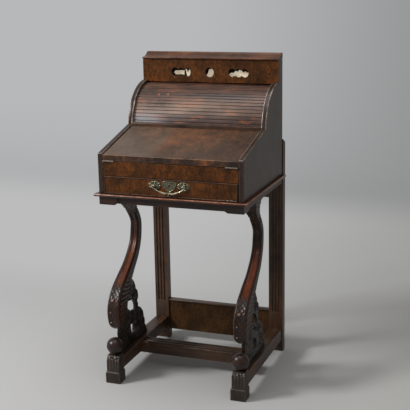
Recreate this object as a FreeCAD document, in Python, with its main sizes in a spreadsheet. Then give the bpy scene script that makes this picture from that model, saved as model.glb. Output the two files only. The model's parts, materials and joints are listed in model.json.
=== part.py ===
import FreeCAD, Part
import math
import os

import Sketcher

# A writing desk of the davenport kind: a small case with a fold-over slope, a curved tambour and
# a pierced gallery, carried on sledge feet by two S-shaped carved legs and two tall rear posts.
# Millimetres. +X is the right-hand side, +Y the back, +Z up. The origin lies on the floor, under
# the middle of the whole desk. Angles on the tambour are counted from the front, upwards.

DOC = FreeCAD.newDocument("DavenportDesk")
TOUCH = 1e-4

DIMENSIONS = {
    # Stand
    "stand_height": 667,
    "stand_out": 2.5,
    "foot_width": 53.5,
    "foot_length": 47,
    "foot_lead": 6,
    "foot_height": 100,
    "foot_nose_height": 80,
    "foot_nose_run": 17,
    "foot_nose_radius": 26,
    "plinth_height": 40,
    "plinth_out": 3.5,
    "sled_bottom": 45,
    "sled_top": 88,
    "post_depth": 28,
    "post_height": 803,
    "post_slant": 14,
    "flute_radius": 4,
    "flute_pitch": 12,
    "flute_bottom": 152,
    "flute_top": 640,
    "ball_radius": 30,
    "ball_flat_angle": 79,
    "ball_in": 24,
    "stretcher_in": 186,
    "stretcher_depth": 52,
    "stretcher_reed_radius": 9.5,
    "rear_rail_height": 79,
    "rear_rail_thick": 18,
    "rear_panel_bottom": 36,
    "rear_panel_top": 150,
    "rear_panel_thick": 12,
    "rear_panel_back": 6,
    "rear_bead_height": 8,
    "rear_bead_set_back": 2,
    "rear_bead_radius": 3,
    "side_rail_height": 22,
    "side_rail_width": 44,
    "corner_block_drop": 29,
    "corner_block_width": 55,
    "corner_block_depth": 55,
    "corner_block_bevel_run": 12,
    "corner_block_bevel_rise": 7,
    "under_rail_drop": 24,
    "under_rail_set_back": 4,
    "under_rail_thick": 18,
    "mould_thick": 9,
    "mould_out": 14,
    "mould_nose_radius": 4.2,
    # S-shaped legs and their carved brackets
    "leg_front_in": 11,
    "leg_reach": 240,
    "leg_chin": 175,
    "leg_depth": 94,
    "leg_width": 45,
    "bracket_thick": 16,
    "bracket_front_in": 57,
    "bracket_length": 231,
    "bracket_height": 250,
    # Case
    "case_width": 504,
    "case_depth": 450,
    "end_thick": 18,
    "end_front_height": 135,
    "slope_rise": 59.5,
    "board_thick": 6,
    "back_thick": 10,
    "front_rail_height": 48,
    "front_rail_thick": 20,
    "drawer_opening": 61,
    "dust_board_depth": 264,
    "well_back_in": 230,
    "well_back_thick": 8,
    "sill_thick": 14,
    "sill_lap": 28,
    "sill_top_up": 201,
    "sill_radius": 3,
    # Hood, tambour and its track
    "hood_radius": 160,
    "hood_in": 403,
    "hood_up": 174,
    "track_depth": 6,
    "track_clearance": 0.6,
    "track_bottom_angle": 80,
    "track_top_angle": 87.8,
    "tambour_sink": 10,
    "slat_thick": 8,
    "slat_half_width": 5.8,
    "slat_crown_radius": 30,
    "slat_step_angle": 4.9,
    "slat_count": 17,
    "slat_end_gap": 1,
    "canvas_thick": 1,
    "canvas_margin": 4,
    "lead_start_angle": 81.2,
    "lead_end_angle": 87,
    "lead_groove_radius": 2.5,
    # Pigeonholes behind the tambour
    "nest_radius": 138,
    "nest_floor_up": 182,
    "nest_shelf_up": 249,
    "nest_divider_thick": 6,
    "nest_divider_offset": 77,
    "nest_top_step": 5,
    # Gallery
    "gallery_depth": 55,
    "gallery_base_up": 327,
    "gallery_height": 82,
    "gallery_thick": 10,
    "gallery_floor_thick": 8,
    "piercing_radius": 15,
    "piercing_pitch": 22.5,
    "piercing_offset": 107,
    "piercing_centre_up": 35,
    "piercing_middle_radius": 17,
    "plaque_thick": 5,
    "liner_thick": 6,
    "liner_in": 424,
    "plaque_height": 42,
    "cap_out": 7,
    "cap_height": 21,
    "cap_nose": 5,
    "cap_quirk": 3,
    "cap_cove_radius": 60,
    "cap_flat": 15,
    # Fall and its hinges
    "fall_side_gap": 1.5,
    "fall_thick": 19.5,
    "fall_front_gap": 0.5,
    "fall_under_gap": 2,
    "fall_rest_gap": 0.3,
    "fall_back_in": 237,
    "leather_thick": 1.2,
    "leather_margin": 26,
    "hinge_length": 40,
    "hinge_barrel_radius": 2.3,
    "hinge_pin_radius": 1.1,
    "hinge_pin_play": 0.05,
    "hinge_end_knuckle": 12,
    "hinge_knuckle_gap": 0.3,
    "hinge_leaf_thick": 1.5,
    "hinge_leaf_width": 18,
    "hinge_lead": 3.2,
    "hinge_rise": 1,
    "hinge_leaf_gap": 0.15,
    # Drawer, lock and handle
    "drawer_gap": 1.5,
    "drawer_side_play": 2.5,
    "drawer_front_thick": 18,
    "drawer_depth": 280,
    "drawer_side_thick": 8,
    "drawer_side_height": 54,
    "drawer_back_height": 40,
    "drawer_bottom_thick": 4,
    "drawer_bottom_up": 2,
    "bead_thick": 3,
    "bead_depth": 6,
    "bead_out": 2,
    "runner_width": 25,
    "runner_height": 2.8,
    "runner_play": 0.2,
    "lock_half_width": 20,
    "lock_height": 34,
    "lock_thick": 9,
    "bolt_half_width": 7,
    "bolt_thick": 4,
    "bolt_height": 22,
    "bolt_in": 11.5,
    "bolt_play": 0.3,
    "bolt_sink": 0.5,
    "bolt_travel": 6,
    "mortise_margin": 1.5,
    "plate_thick": 1.2,
    "shield_half_width": 27,
    "shield_height": 34,
    "shield_top_down": 8,
    "shield_top_radius": 90,
    "shield_side_radius": 46,
    "keyhole_radius": 2.6,
    "keyhole_down": 18,
    "keyhole_slot_width": 2.6,
    "keyhole_slot_height": 9,
    "handle_half_span": 50,
    "handle_down": 20,
    "rosette_half_width": 22.5,
    "rosette_half_height": 11,
    "rosette_lobe_radius": 8.5,
    "post_radius": 3.5,
    "post_reach": 11.5,
    "bail_lead": 8.5,
    "bail_radius": 2.2,
    "bail_knuckle_radius": 2.7,
    "bail_pin_radius": 1.5,
    "bail_pin_play": 0.08,
    "bail_outset": 6.5,
    "bail_pin_inset": 5,
    "bail_shoulder_drop": 10,
    "bail_lean_angle": 13,
    "bail_lift_angle": 22,
    "bail_bend_radius": 9.5,
    "bail_hollow_radius": 14,
    "bail_hump_radius": 12,
}

# Sizes that follow others in the sheet, each by a clearance named above
TIED_SIZES = {
    "bail_half_span": "=handle_half_span + bail_outset",
    "bail_pin_end": "=handle_half_span - bail_pin_inset",
}


def make_sheet():
    """Writes every driving size, and every size tied to others, into its own aliased cell."""
    sheet = DOC.addObject("Spreadsheet::Sheet", "Sizes")
    for row, (alias, value) in enumerate((DIMENSIONS | TIED_SIZES).items(), start=1):
        sheet.set(f"A{row}", alias)
        sheet.set(f"B{row}", str(value))
        sheet.setAlias(f"B{row}", alias)
    DOC.recompute()
    return sheet


class Size:
    """A length, ratio or angle: its number and the sheet formula that gives it."""

    def __init__(self, formula, number):
        self.formula = formula
        self.number = float(number)

    @staticmethod
    def of(value):
        return value if isinstance(value, Size) else Size(str(value), value)

    def _with(self, other, sign, number):
        return Size(f"({self.formula} {sign} {other.formula})", number)

    def __add__(self, other):
        other = Size.of(other)
        return self._with(other, "+", self.number + other.number)

    def __sub__(self, other):
        other = Size.of(other)
        return self._with(other, "-", self.number - other.number)

    def __mul__(self, other):
        other = Size.of(other)
        return self._with(other, "*", self.number * other.number)

    def __truediv__(self, other):
        other = Size.of(other)
        return self._with(other, "/", self.number / other.number)

    def __radd__(self, other):
        return Size.of(other) + self

    def __rsub__(self, other):
        return Size.of(other) - self

    def __rmul__(self, other):
        return Size.of(other) * self

    def __neg__(self):
        return Size(f"(0 - {self.formula})", -self.number)

    def __float__(self):
        return self.number


def root(value):
    """Square root of a Size."""
    return Size(f"sqrt({value.formula})", math.sqrt(value.number))


def sine(angle):
    """Sine of an angle in degrees."""
    return Size(f"sin({angle.formula})", math.sin(math.radians(angle.number)))


def cosine(angle):
    """Cosine of an angle in degrees."""
    return Size(f"cos({angle.formula})", math.cos(math.radians(angle.number)))


class Sheet:
    """Gives each alias of the spreadsheet as a Size attribute."""

    def __init__(self, cells):
        self.cells = cells

    def __getattr__(self, alias):
        return Size(f"Sizes.{alias}", self.cells.get(alias))


S = Sheet(make_sheet())
ZERO = Size("0", 0)
NODES = []


def keep(piece, label):
    """Names a finished sub-part and lists it for checking and writing."""
    piece.Label = label
    NODES.append(piece)
    return piece


def bind(piece, prop, size):
    """Ties one property of a piece to its sheet formula."""
    piece.setExpression(prop, Size.of(size).formula)


def put(piece, x=ZERO, y=ZERO, z=ZERO):
    """Ties the place of a piece to sheet formulas."""
    for axis, size in (("x", x), ("y", y), ("z", z)):
        bind(piece, f"Placement.Base.{axis}", size)
    return piece


def block(name, x, y, z):
    """A box between (low, high) pairs of sizes along the three axes."""
    box = DOC.addObject("Part::Box", name)
    for prop, (low, high) in (("Length", x), ("Width", y), ("Height", z)):
        bind(box, prop, high - low)
    return put(box, x[0], y[0], z[0])


TURN_TO = {
    "x": FreeCAD.Rotation(FreeCAD.Vector(0, 1, 0), 90),
    "y": FreeCAD.Rotation(FreeCAD.Vector(1, 0, 0), -90),
    "z": FreeCAD.Rotation(),
}


def rod(name, radius, length, start, along):
    """A cylinder that runs from its start point along +X, +Y or +Z."""
    cylinder = DOC.addObject("Part::Cylinder", name)
    bind(cylinder, "Radius", radius)
    bind(cylinder, "Height", length)
    cylinder.Placement = FreeCAD.Placement(FreeCAD.Vector(), TURN_TO[along])
    return put(cylinder, *start)


def cut(name, base, *tools):
    """Takes the tools away from the base."""
    tool = tools[0] if len(tools) == 1 else fuse(f"{name}_tools", *tools)
    result = DOC.addObject("Part::Cut", name)
    result.Base, result.Tool = base, tool
    return result


def fuse(name, *pieces):
    """Joins pieces into one solid."""
    result = DOC.addObject("Part::MultiFuse", name)
    result.Shapes = list(pieces)
    result.Refine = True
    return result


def group(name, *pieces):
    """Keeps like pieces together as separate solids."""
    result = DOC.addObject("Part::Compound", name)
    result.Links = list(pieces)
    return result


def mirrored(name, piece):
    """The left-hand twin of a right-hand piece."""
    twin = DOC.addObject("Part::Mirroring", name)
    twin.Source = piece
    twin.Normal = FreeCAD.Vector(1, 0, 0)
    return twin


def keep_pair(piece, name):
    """Keeps a right-hand piece and its mirrored left-hand twin."""
    keep(piece, f"{name}_right")
    keep(mirrored(f"{name}_left", piece), f"{name}_left")


def arc_centre(start, end, radius):
    """Centre of the short arc from start to end: on the left for a positive radius."""
    mid = (start + end) * 0.5
    chord = end - start
    rise = math.sqrt(max(radius * radius - chord.Length ** 2 / 4, 0))
    left = FreeCAD.Vector(-chord.y, chord.x, 0).normalize()
    return mid + left * (rise if radius > 0 else -rise)


def arc_edge(start, end, radius):
    """The short arc from start to end, and which of its ends is the start."""
    centre = arc_centre(start, end, radius)
    first, last = (start, end) if radius > 0 else (end, start)
    angle = [math.atan2(p.y - centre.y, p.x - centre.x) for p in (first, last)]
    circle = Part.Circle(centre, FreeCAD.Vector(0, 0, 1), abs(radius))
    edge = Part.ArcOfCircle(circle, angle[0], angle[1] if angle[1] > angle[0] else angle[1] + math.tau)
    return edge, (1, 2) if radius > 0 else (2, 1)


class Outline:
    """Draws closed loops of lines and arcs in a sketch and ties every corner to the sheet.

    A corner is (u, v) or (u, v, radius). The radius makes the side that ends at the corner an
    arc: positive swells outwards on a loop drawn anticlockwise, negative hollows it.
    """

    def __init__(self, sketch):
        self.sketch = sketch

    def tie(self, kind, *arguments, size):
        index = self.sketch.addConstraint(Sketcher.Constraint(kind, *arguments, size.number))
        self.sketch.setExpression(f"Constraints[{index}]", size.formula)

    def pin(self, edge, end, u, v):
        for kind, size, axis in (("DistanceX", u, -2), ("DistanceY", v, -1)):
            if abs(size.number) < TOUCH:
                self.sketch.addConstraint(Sketcher.Constraint("PointOnObject", edge, end, axis))
            else:
                self.tie(kind, -1, 1, edge, end, size=size)

    def draw(self, corners, closed=True):
        corners = [tuple(Size.of(value) for value in corner) for corner in corners]
        points = [FreeCAD.Vector(c[0].number, c[1].number, 0) for c in corners]
        first = self.sketch.GeometryCount
        sides = len(points) if closed else len(points) - 1
        order = []
        for index in range(sides):
            following = (index + 1) % len(points)
            start, end = points[index], points[following]
            if len(corners[following]) == 3:
                edge, ends = arc_edge(start, end, corners[following][2].number)
            else:
                edge, ends = Part.LineSegment(start, end), (1, 2)
            self.sketch.addGeometry(edge, False)
            order.append(ends)
        for index in range(sides):
            following = (index + 1) % len(points)
            self.pin(first + index, order[index][0], *corners[index][:2])
            if len(corners[following]) == 3:
                radius = corners[following][2]
                self.tie("Radius", first + index, size=radius if radius.number > 0 else -radius)
            if following < sides:
                meeting = (first + index, order[index][1], first + following, order[following][0])
                self.sketch.addConstraint(Sketcher.Constraint("Coincident", *meeting))
            else:
                self.pin(first + index, order[index][1], *corners[following][:2])


def blank_sketch(body, plane):
    """An empty sketch on one of the body's own origin planes."""
    sketch = body.newObject("Sketcher::SketchObject", f"{body.Name}_sketch")
    face = next(f for f in body.Origin.OriginFeatures if f.Role == plane)
    sketch.AttachmentSupport = (face, "")
    sketch.MapMode = "FlatFace"
    return sketch


def sketch_on(body, plane, loops, closed=True):
    """A sketch of loops, or of one open path, on one of the body's own origin planes."""
    sketch = blank_sketch(body, plane)
    outline = Outline(sketch)
    for corners in loops:
        outline.draw(corners, closed)
    return sketch


def circle_on(body, plane, u, v, radius):
    """A sketch of one circle on one of the body's own origin planes."""
    sketch = blank_sketch(body, plane)
    centre = FreeCAD.Vector(float(u), float(v), 0)
    sketch.addGeometry(Part.Circle(centre, FreeCAD.Vector(0, 0, 1), float(radius)), False)
    outline = Outline(sketch)
    outline.pin(0, 3, u, v)
    outline.tie("Radius", 0, size=radius)
    return sketch


def prism(name, plane, loops, start, end):
    """Pads loops from start to end, along +X (YZ plane), +Y (XZ plane) or +Z (XY plane)."""
    body = DOC.addObject("PartDesign::Body", name)
    sketch = sketch_on(body, plane, loops)
    pad = body.newObject("PartDesign::Pad", f"{name}_pad")
    pad.Profile = sketch
    pad.Reversed = plane == "XZ_Plane"
    bind(pad, "Length", end - start)
    axis = {"YZ_Plane": "x", "XZ_Plane": "y", "XY_Plane": "z"}[plane]
    put(body, **{axis: start})
    DOC.recompute([body], True)
    return body


def pocket(body, plane, loops, depth):
    """Sinks loops into the body from one of its origin planes."""
    sketch = sketch_on(body, plane, loops)
    full = body.Shape.Volume
    recess = body.newObject("PartDesign::Pocket", f"{body.Name}_pocket")
    recess.Profile = sketch
    recess.Reversed = True
    bind(recess, "Length", depth)
    DOC.recompute([body], True)
    if body.Shape.Volume >= full:
        raise RuntimeError(f"{body.Name}: the pocket cuts nothing")
    return recess


def round_edges(body, radius, chosen):
    """Fillets the level edges of a body whose end points pass the test."""
    tip = body.Tip
    names = []
    for index, edge in enumerate(tip.Shape.Edges, start=1):
        ends = [vertex.Point for vertex in edge.Vertexes]
        if abs(ends[0].z - ends[-1].z) < TOUCH and chosen(ends):
            names.append(f"Edge{index}")
    fillet = body.newObject("PartDesign::Fillet", f"{body.Name}_round")
    fillet.Base = (tip, names)
    bind(fillet, "Radius", radius)
    DOC.recompute([body], True)
    return fillet


def near(value, size):
    """Whether a coordinate lies on a named plane."""
    return abs(value - size.number) < TOUCH


def vector(x, y, z):
    """A point given in sizes."""
    return FreeCAD.Vector(float(x), float(y), float(z))


# Levels and lines that several pieces share

case_front = S.mould_out - (S.mould_out + S.case_depth + S.post_depth) / 2
case_back = case_front + S.case_depth
desk_back = case_back + S.post_depth
half_case = S.case_width / 2
inner_x = half_case - S.end_thick
case_base = S.stand_height + S.mould_thick
rail_bottom = case_base + S.drawer_opening
rail_top = rail_bottom + S.front_rail_height
dust_top = rail_bottom + S.board_thick
hood_y = case_front + S.hood_in
hood_z = case_base + S.hood_up
end_top = case_base + S.end_front_height
slope_end_z = end_top + S.slope_rise
slope_end_y = hood_y - root(S.hood_radius * S.hood_radius - (slope_end_z - hood_z) * (slope_end_z - hood_z))
slope_tangent = S.slope_rise / (slope_end_y - case_front)
gallery_front_y = case_back - S.gallery_depth
gallery_base = case_base + S.gallery_base_up
gallery_top = gallery_base + S.gallery_height
back_face = case_back - S.back_thick
half_stand = half_case + S.stand_out
leg_x = half_stand - S.foot_width / 2
sled_half = S.foot_width / 2 - S.plinth_out
sled_x = (leg_x - sled_half, leg_x + sled_half)
foot_front = case_front - S.foot_lead
foot_back = foot_front + S.foot_length
slat_outer = S.hood_radius - S.tambour_sink
slat_inner = slat_outer - S.slat_thick
slat_end_x = inner_x + S.track_depth - S.slat_end_gap


def hood_point(radius, angle):
    """A point of the hood's section at a radius and an angle up from the front."""
    return hood_y - radius * cosine(angle), hood_z + radius * sine(angle)


def sector(inner, outer, low, high):
    """Outline of a length of curved wall about the hood's axis."""
    return [
        hood_point(outer, high),
        hood_point(outer, low) + (outer,),
        hood_point(inner, low),
        hood_point(inner, high) + (-inner,),
    ]


def fall_under(y):
    """Height of the fall's underside at a distance back."""
    return rail_top + S.fall_under_gap + slope_tangent * (y - case_front)


def hood_front(radius, level):
    """How far back a circle about the hood's axis lies at a level."""
    return hood_y - root(radius * radius - (level - hood_z) * (level - hood_z))


# Stand

def feet_and_sleds():
    plinth = block("foot_plinth", (half_stand - S.foot_width, half_stand), (foot_front, foot_back),
                   (ZERO, S.plinth_height))
    nose = foot_front + S.plinth_out
    upper = prism("foot_upper", "YZ_Plane", [[
        (nose, S.plinth_height),
        (foot_back, S.plinth_height),
        (foot_back, S.foot_height),
        (nose + S.foot_nose_run, S.foot_height),
        (nose, S.foot_nose_height, S.foot_nose_radius),
    ]], *sled_x)
    keep_pair(fuse("foot_block", plinth, upper), "foot_block")
    sled = block("sled", sled_x, (foot_back, case_back), (S.sled_bottom, S.sled_top))
    keep_pair(sled, "sled")
    ball = DOC.addObject("Part::Sphere", "ball")
    bind(ball, "Radius", S.ball_radius)
    bind(ball, "Angle1", -S.ball_flat_angle)
    put(ball, leg_x, case_front + S.ball_in, S.foot_height + S.ball_radius * sine(S.ball_flat_angle))
    keep(group("balls", ball, mirrored("ball_left", ball)), "ball_feet")


def rear_posts():
    inner = half_stand - S.foot_width
    stock = prism("rear_post_stock", "YZ_Plane", [[
        (case_back, ZERO),
        (desk_back, ZERO),
        (desk_back, S.post_height - S.post_slant),
        (case_back, S.post_height),
    ]], inner, half_stand)
    flutes = []
    for place in (-1, 0, 1):
        start = (leg_x + place * S.flute_pitch, case_back, S.flute_bottom)
        length = S.flute_top - S.flute_bottom
        flutes.append(rod(f"flute{place + 1}", S.flute_radius, length, start, "z"))
    keep_pair(cut("rear_post", stock, *flutes), "rear_post")


def cross_members():
    inner = half_stand - S.foot_width
    rail = block("rear_rail", (-inner, inner), (case_back, case_back + S.rear_rail_thick),
                 (S.stand_height - S.rear_rail_height, S.stand_height))
    keep(rail, "rear_rail_upper")
    panel_front = case_back + S.rear_panel_back
    panel = block("rear_panel", (-inner, inner), (panel_front, panel_front + S.rear_panel_thick),
                  (S.rear_panel_bottom, S.rear_panel_top))
    keep(panel, "rear_panel_lower")
    bead_front = case_back + S.rear_bead_set_back
    bead_back = desk_back - S.rear_bead_set_back
    bead = prism("rear_bead", "XY_Plane", [[
        (-inner, bead_front),
        (inner, bead_front),
        (inner, bead_back),
        (-inner, bead_back),
    ]], S.rear_panel_top, S.rear_panel_top + S.rear_bead_height)
    round_edges(bead, S.rear_bead_radius, lambda ends: all(near(p.y, bead_front) for p in ends))
    keep(bead, "rear_panel_bead")
    front = case_front + S.stretcher_in
    back = front + S.stretcher_depth
    reed = S.stretcher_depth / 3
    radius = S.stretcher_reed_radius
    shoulder = S.sled_top - (radius - root(radius * radius - reed * reed / 4))
    stretcher = prism("stretcher", "YZ_Plane", [[
        (front, S.sled_bottom),
        (back, S.sled_bottom),
        (back, shoulder),
        (front + 2 * reed, shoulder, radius),
        (front + reed, shoulder, radius),
        (front, shoulder, radius),
    ]], -sled_x[0], sled_x[0])
    keep(stretcher, "stretcher")


# Sections of the leg from the top down: (height, set-back, depth, width) as shares of the leg's
# height above the chin, its reach, its depth and its width, then the lean of the section.
LEG_SECTION_SHARES = (
    (1.000, 0.708, 1.100, 1.080, 0),
    (0.930, 0.696, 0.660, 0.950, -12),
    (0.857, 0.800, 0.394, 0.760, -30),
    (0.755, 0.930, 0.372, 0.700, -8),
    (0.670, 0.932, 0.436, 0.700, 6),
    (0.585, 0.890, 0.430, 0.720, 27),
    (0.500, 0.780, 0.452, 0.770, 38),
    (0.419, 0.616, 0.490, 0.810, 45),
    (0.347, 0.458, 0.650, 0.880, 45),
    (0.262, 0.296, 0.894, 0.950, 34),
    (0.170, 0.206, 1.000, 1.000, 14),
    (0.081, 0.219, 0.950, 0.970, -12),
    (0.023, 0.258, 0.500, 0.820, -20),
)
# One side of a section, from the edge of its broad front to its back: shares of depth and width.
LEG_RIM_SHARES = ((-0.495, 0.37), (-0.42, 0.495), (0.33, 0.46), (0.50, 0.14))


def leg_section(height, set_back, depth, width, lean):
    """One closed section of the leg, square to its curve."""
    top = S.stand_height - S.side_rail_height
    centre = vector(leg_x, case_front + S.leg_front_in + set_back * S.leg_reach,
                    S.leg_chin + height * (top - S.leg_chin))
    turn = math.radians(lean)
    backward = FreeCAD.Vector(0, math.cos(turn), -math.sin(turn))
    across = FreeCAD.Vector(1, 0, 0)
    left_rim = [(d, -w) for d, w in reversed(LEG_RIM_SHARES)]
    points = []
    for d, w in LEG_RIM_SHARES + tuple(left_rim):
        offset = backward * (d * depth * float(S.leg_depth)) + across * (w * width * float(S.leg_width))
        points.append(centre + offset)
    return Part.makePolygon(points + points[:1])


def bracket_point(length_share, height_share, *radius_share):
    """A corner of the carved bracket, in shares of its length and height."""
    corner = (case_front + S.bracket_front_in + length_share * S.bracket_length,
              S.sled_top + height_share * S.bracket_height)
    return corner + tuple(share * S.bracket_height for share in radius_share)


# Outlines of the bracket, anticlockwise, as shares of its length and height; a third share is
# the radius of the side that ends at that corner.
BRACKET_EDGE_SHARES = (
    (0.00, 0.00),
    (1.00, 0.00),
    (0.955, 0.08, 0.12),
    (0.90, 0.15, 0.12),
    (0.875, 0.27, 0.10),
    (0.815, 0.395, 0.13),
    (0.68, 0.47, 0.14),
    (0.645, 0.575, 0.09),
    (0.70, 0.645, 0.11),
    (0.615, 0.78, 0.16),
    (0.42, 1.00, 0.30),
    (0.22, 0.86),
    (0.00, 0.42),
)
BRACKET_HOLE_SHARES = (
    ((0.25, 0.60), (0.30, 0.47, 0.14), (0.45, 0.42, 0.14), (0.585, 0.46, 0.12), (0.57, 0.57, 0.10),
     (0.27, 0.69, 0.30)),
    ((0.33, 0.16), (0.42, 0.11, 0.14), (0.52, 0.13, 0.10), (0.53, 0.24, 0.12), (0.36, 0.29, 0.12)),
)


def legs():
    leg = DOC.addObject("Part::Feature", "leg")
    leg.Shape = Part.makeLoft([leg_section(*row) for row in LEG_SECTION_SHARES], True)
    leg.Placement = FreeCAD.Placement()
    keep_pair(leg, "leg")
    loops = [[bracket_point(*shares) for shares in BRACKET_EDGE_SHARES]]
    loops += [[bracket_point(*shares) for shares in hole] for hole in BRACKET_HOLE_SHARES]
    half = S.bracket_thick / 2
    stock = prism("bracket_stock", "YZ_Plane", loops, leg_x - half, leg_x + half)
    keep_pair(cut("leg_bracket", stock, leg), "leg_bracket")


def under_frame():
    side = (half_case - S.side_rail_width, half_case)
    block_back = case_front + S.corner_block_depth
    rail = block("side_rail", side, (block_back, case_back),
                 (S.stand_height - S.side_rail_height, S.stand_height))
    keep_pair(rail, "side_rail")
    low = S.stand_height - S.corner_block_drop
    inner = half_case - S.corner_block_width - S.corner_block_bevel_run
    corner = prism("corner_block", "XZ_Plane", [[
        (half_case, low),
        (half_case, S.stand_height),
        (inner, S.stand_height),
        (inner, low + S.corner_block_bevel_rise),
        (half_case - S.corner_block_width, low),
    ]], case_front, block_back)
    keep_pair(corner, "corner_block")
    front = case_front + S.under_rail_set_back
    rail = block("under_rail", (-inner, inner), (front, front + S.under_rail_thick),
                 (S.stand_height - S.under_rail_drop, S.stand_height))
    keep(rail, "front_under_rail")
    out_x = half_case + S.mould_out
    out_y = case_front - S.mould_out
    inside = case_front + S.end_thick
    mould = prism("base_moulding_body", "XY_Plane", [[
        (-out_x, out_y),
        (out_x, out_y),
        (out_x, case_back),
        (inner_x, case_back),
        (inner_x, inside),
        (-inner_x, inside),
        (-inner_x, case_back),
        (-out_x, case_back),
    ]], S.stand_height, case_base)
    round_edges(mould, S.mould_nose_radius,
                lambda ends: all(near(abs(p.x), out_x) for p in ends) or all(near(p.y, out_y) for p in ends))
    keep(mould, "base_moulding")


# Case

def end_panels():
    stock = prism("end_panel", "YZ_Plane", [[
        (case_front, case_base),
        (case_back, case_base),
        (case_back, gallery_top),
        (gallery_front_y + S.gallery_thick, gallery_top),
        (gallery_front_y + S.gallery_thick, gallery_base),
        (gallery_front_y, gallery_base),
        (gallery_front_y, hood_z + root(S.hood_radius * S.hood_radius
                                        - (hood_y - gallery_front_y) * (hood_y - gallery_front_y))),
        (slope_end_y, slope_end_z, S.hood_radius),
        (case_front, end_top),
    ]], inner_x, half_case)
    outer = slat_outer + S.track_clearance
    inner = slat_inner - S.track_clearance
    low, high = -S.track_bottom_angle, S.track_top_angle
    pocket(stock, "YZ_Plane", [sector(inner, outer, low, high)], S.track_depth)
    keep_pair(stock, "end_panel")


def carcase_boards():
    across = (-inner_x, inner_x)
    inside = case_front + S.end_thick
    keep(block("bottom", across, (inside, case_back), (S.stand_height, case_base)), "bottom_board")
    rail_back = case_front + S.front_rail_thick
    dust = block("dust", across, (rail_back, rail_back + S.dust_board_depth), (rail_bottom, dust_top))
    keep(dust, "dust_board")
    keep(block("back", across, (back_face, case_back), (case_base, gallery_top)), "case_back")
    well_front = case_front + S.well_back_in
    well_top = fall_under(well_front) - S.fall_rest_gap
    sill_front = well_front + S.well_back_thick
    well = block("well", across, (well_front, sill_front), (dust_top, well_top))
    keep(well, "well_back")
    sill_back = sill_front + S.sill_thick
    sill_bottom = well_top - S.sill_lap
    sill_top = case_base + S.sill_top_up
    sill = prism("sill", "YZ_Plane", [[
        (sill_front, sill_bottom),
        (sill_back, sill_bottom),
        (sill_back, sill_top - S.sill_radius),
        (sill_back - S.sill_radius, sill_top, S.sill_radius),
        (sill_front + S.sill_radius, sill_top),
        (sill_front, sill_top - S.sill_radius, S.sill_radius),
    ]], *across)
    keep(sill, "tambour_sill")


def nest():
    """The fixed pigeonholes, whose fronts follow the inside of the tambour."""
    across = (-inner_x, inner_x)
    floor_top = case_base + S.nest_floor_up + S.board_thick
    shelf_low = case_base + S.nest_shelf_up
    shelf_top = shelf_low + S.board_thick
    floor_front = hood_front(S.nest_radius, floor_top)
    low_front = hood_front(S.nest_radius, shelf_low)
    shelf_front = hood_front(S.nest_radius, shelf_top)
    nest_top = hood_z + S.nest_radius
    floor_low = floor_top - S.board_thick
    floor = block("nest_floor_board", across, (floor_front, back_face), (floor_low, floor_top))
    keep(floor, "nest_floor")
    shelf = block("nest_shelf_board", across, (shelf_front, back_face), (shelf_low, shelf_top))
    keep(shelf, "nest_shelf")
    half = S.nest_divider_thick / 2
    lower = prism("nest_divider_low", "YZ_Plane", [[
        (floor_front, floor_top, S.nest_radius),
        (back_face, floor_top),
        (back_face, shelf_low),
        (low_front, shelf_low),
    ]], S.nest_divider_offset - half, S.nest_divider_offset + half)
    keep_pair(lower, "nest_divider")
    step_y = hood_y + S.nest_top_step
    upper = prism("nest_divider_high", "YZ_Plane", [[
        (shelf_front, shelf_top, S.nest_radius),
        (back_face, shelf_top),
        (back_face, gallery_base),
        (step_y, gallery_base),
        (step_y, nest_top),
        (hood_y, nest_top),
    ]], -half, half)
    keep(upper, "nest_divider_upper")


# Tablets behind the piercings: left, right, bottom and top edges as shares of the piercings'
# offset from the middle and of the tallest tablet.
PLAQUE_SHARES = (
    (-1.33, -0.96, -0.28, 0.22),
    (-0.93, -0.70, -0.46, 0.26),
    (-0.17, 0.24, -0.60, 0.42),
    (0.56, 1.42, -0.60, 0.42),
)


def gallery():
    across = (-inner_x, inner_x)
    panel_back = gallery_front_y + S.gallery_thick
    floor = block("gallery_floor_board", across, (panel_back, back_face),
                  (gallery_base, gallery_base + S.gallery_floor_thick))
    keep(floor, "gallery_floor")
    panel = block("gallery_board", (-half_case, half_case), (gallery_front_y, panel_back),
                  (gallery_base, gallery_top))
    centre_z = gallery_base + S.piercing_centre_up
    start_y = gallery_front_y - S.gallery_thick
    holes = [rod("piercing_middle", S.piercing_middle_radius, 3 * S.gallery_thick,
                 (ZERO, start_y, centre_z), "y")]
    for side in (-1, 1):
        for lobe in (-1, 0, 1):
            x = side * S.piercing_offset + lobe * S.piercing_pitch
            holes.append(rod(f"piercing{side + 1}{lobe + 1}", S.piercing_radius, 3 * S.gallery_thick,
                             (x, start_y, centre_z), "y"))
    keep(cut("gallery_front", panel, *holes), "gallery_front")
    liner_front = case_front + S.liner_in
    liner = block("gallery_liner_board", across, (liner_front, liner_front + S.liner_thick),
                  (gallery_base + S.gallery_floor_thick, gallery_top))
    keep(liner, "gallery_liner")
    plaques = []
    for index, (left, right, low, high) in enumerate(PLAQUE_SHARES):
        x = (left * S.piercing_offset, right * S.piercing_offset)
        z = (centre_z + low * S.plaque_height, centre_z + high * S.plaque_height)
        plaques.append(block(f"plaque{index}", x, (liner_front - S.plaque_thick, liner_front), z))
    keep(group("plaques", *plaques), "gallery_plaques")
    cap_front = gallery_front_y - S.cap_out
    quirk_z = gallery_top + S.cap_nose
    cap_top = gallery_top + S.cap_height
    cap = prism("cap", "YZ_Plane", [[
        (cap_front, gallery_top),
        (case_back, gallery_top),
        (case_back, cap_top),
        (case_back - S.cap_flat, cap_top),
        (cap_front + S.cap_quirk, quirk_z, -S.cap_cove_radius),
        (cap_front, quirk_z),
    ]], -half_case, half_case)
    keep(cap, "gallery_cap")


# Tambour

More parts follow.
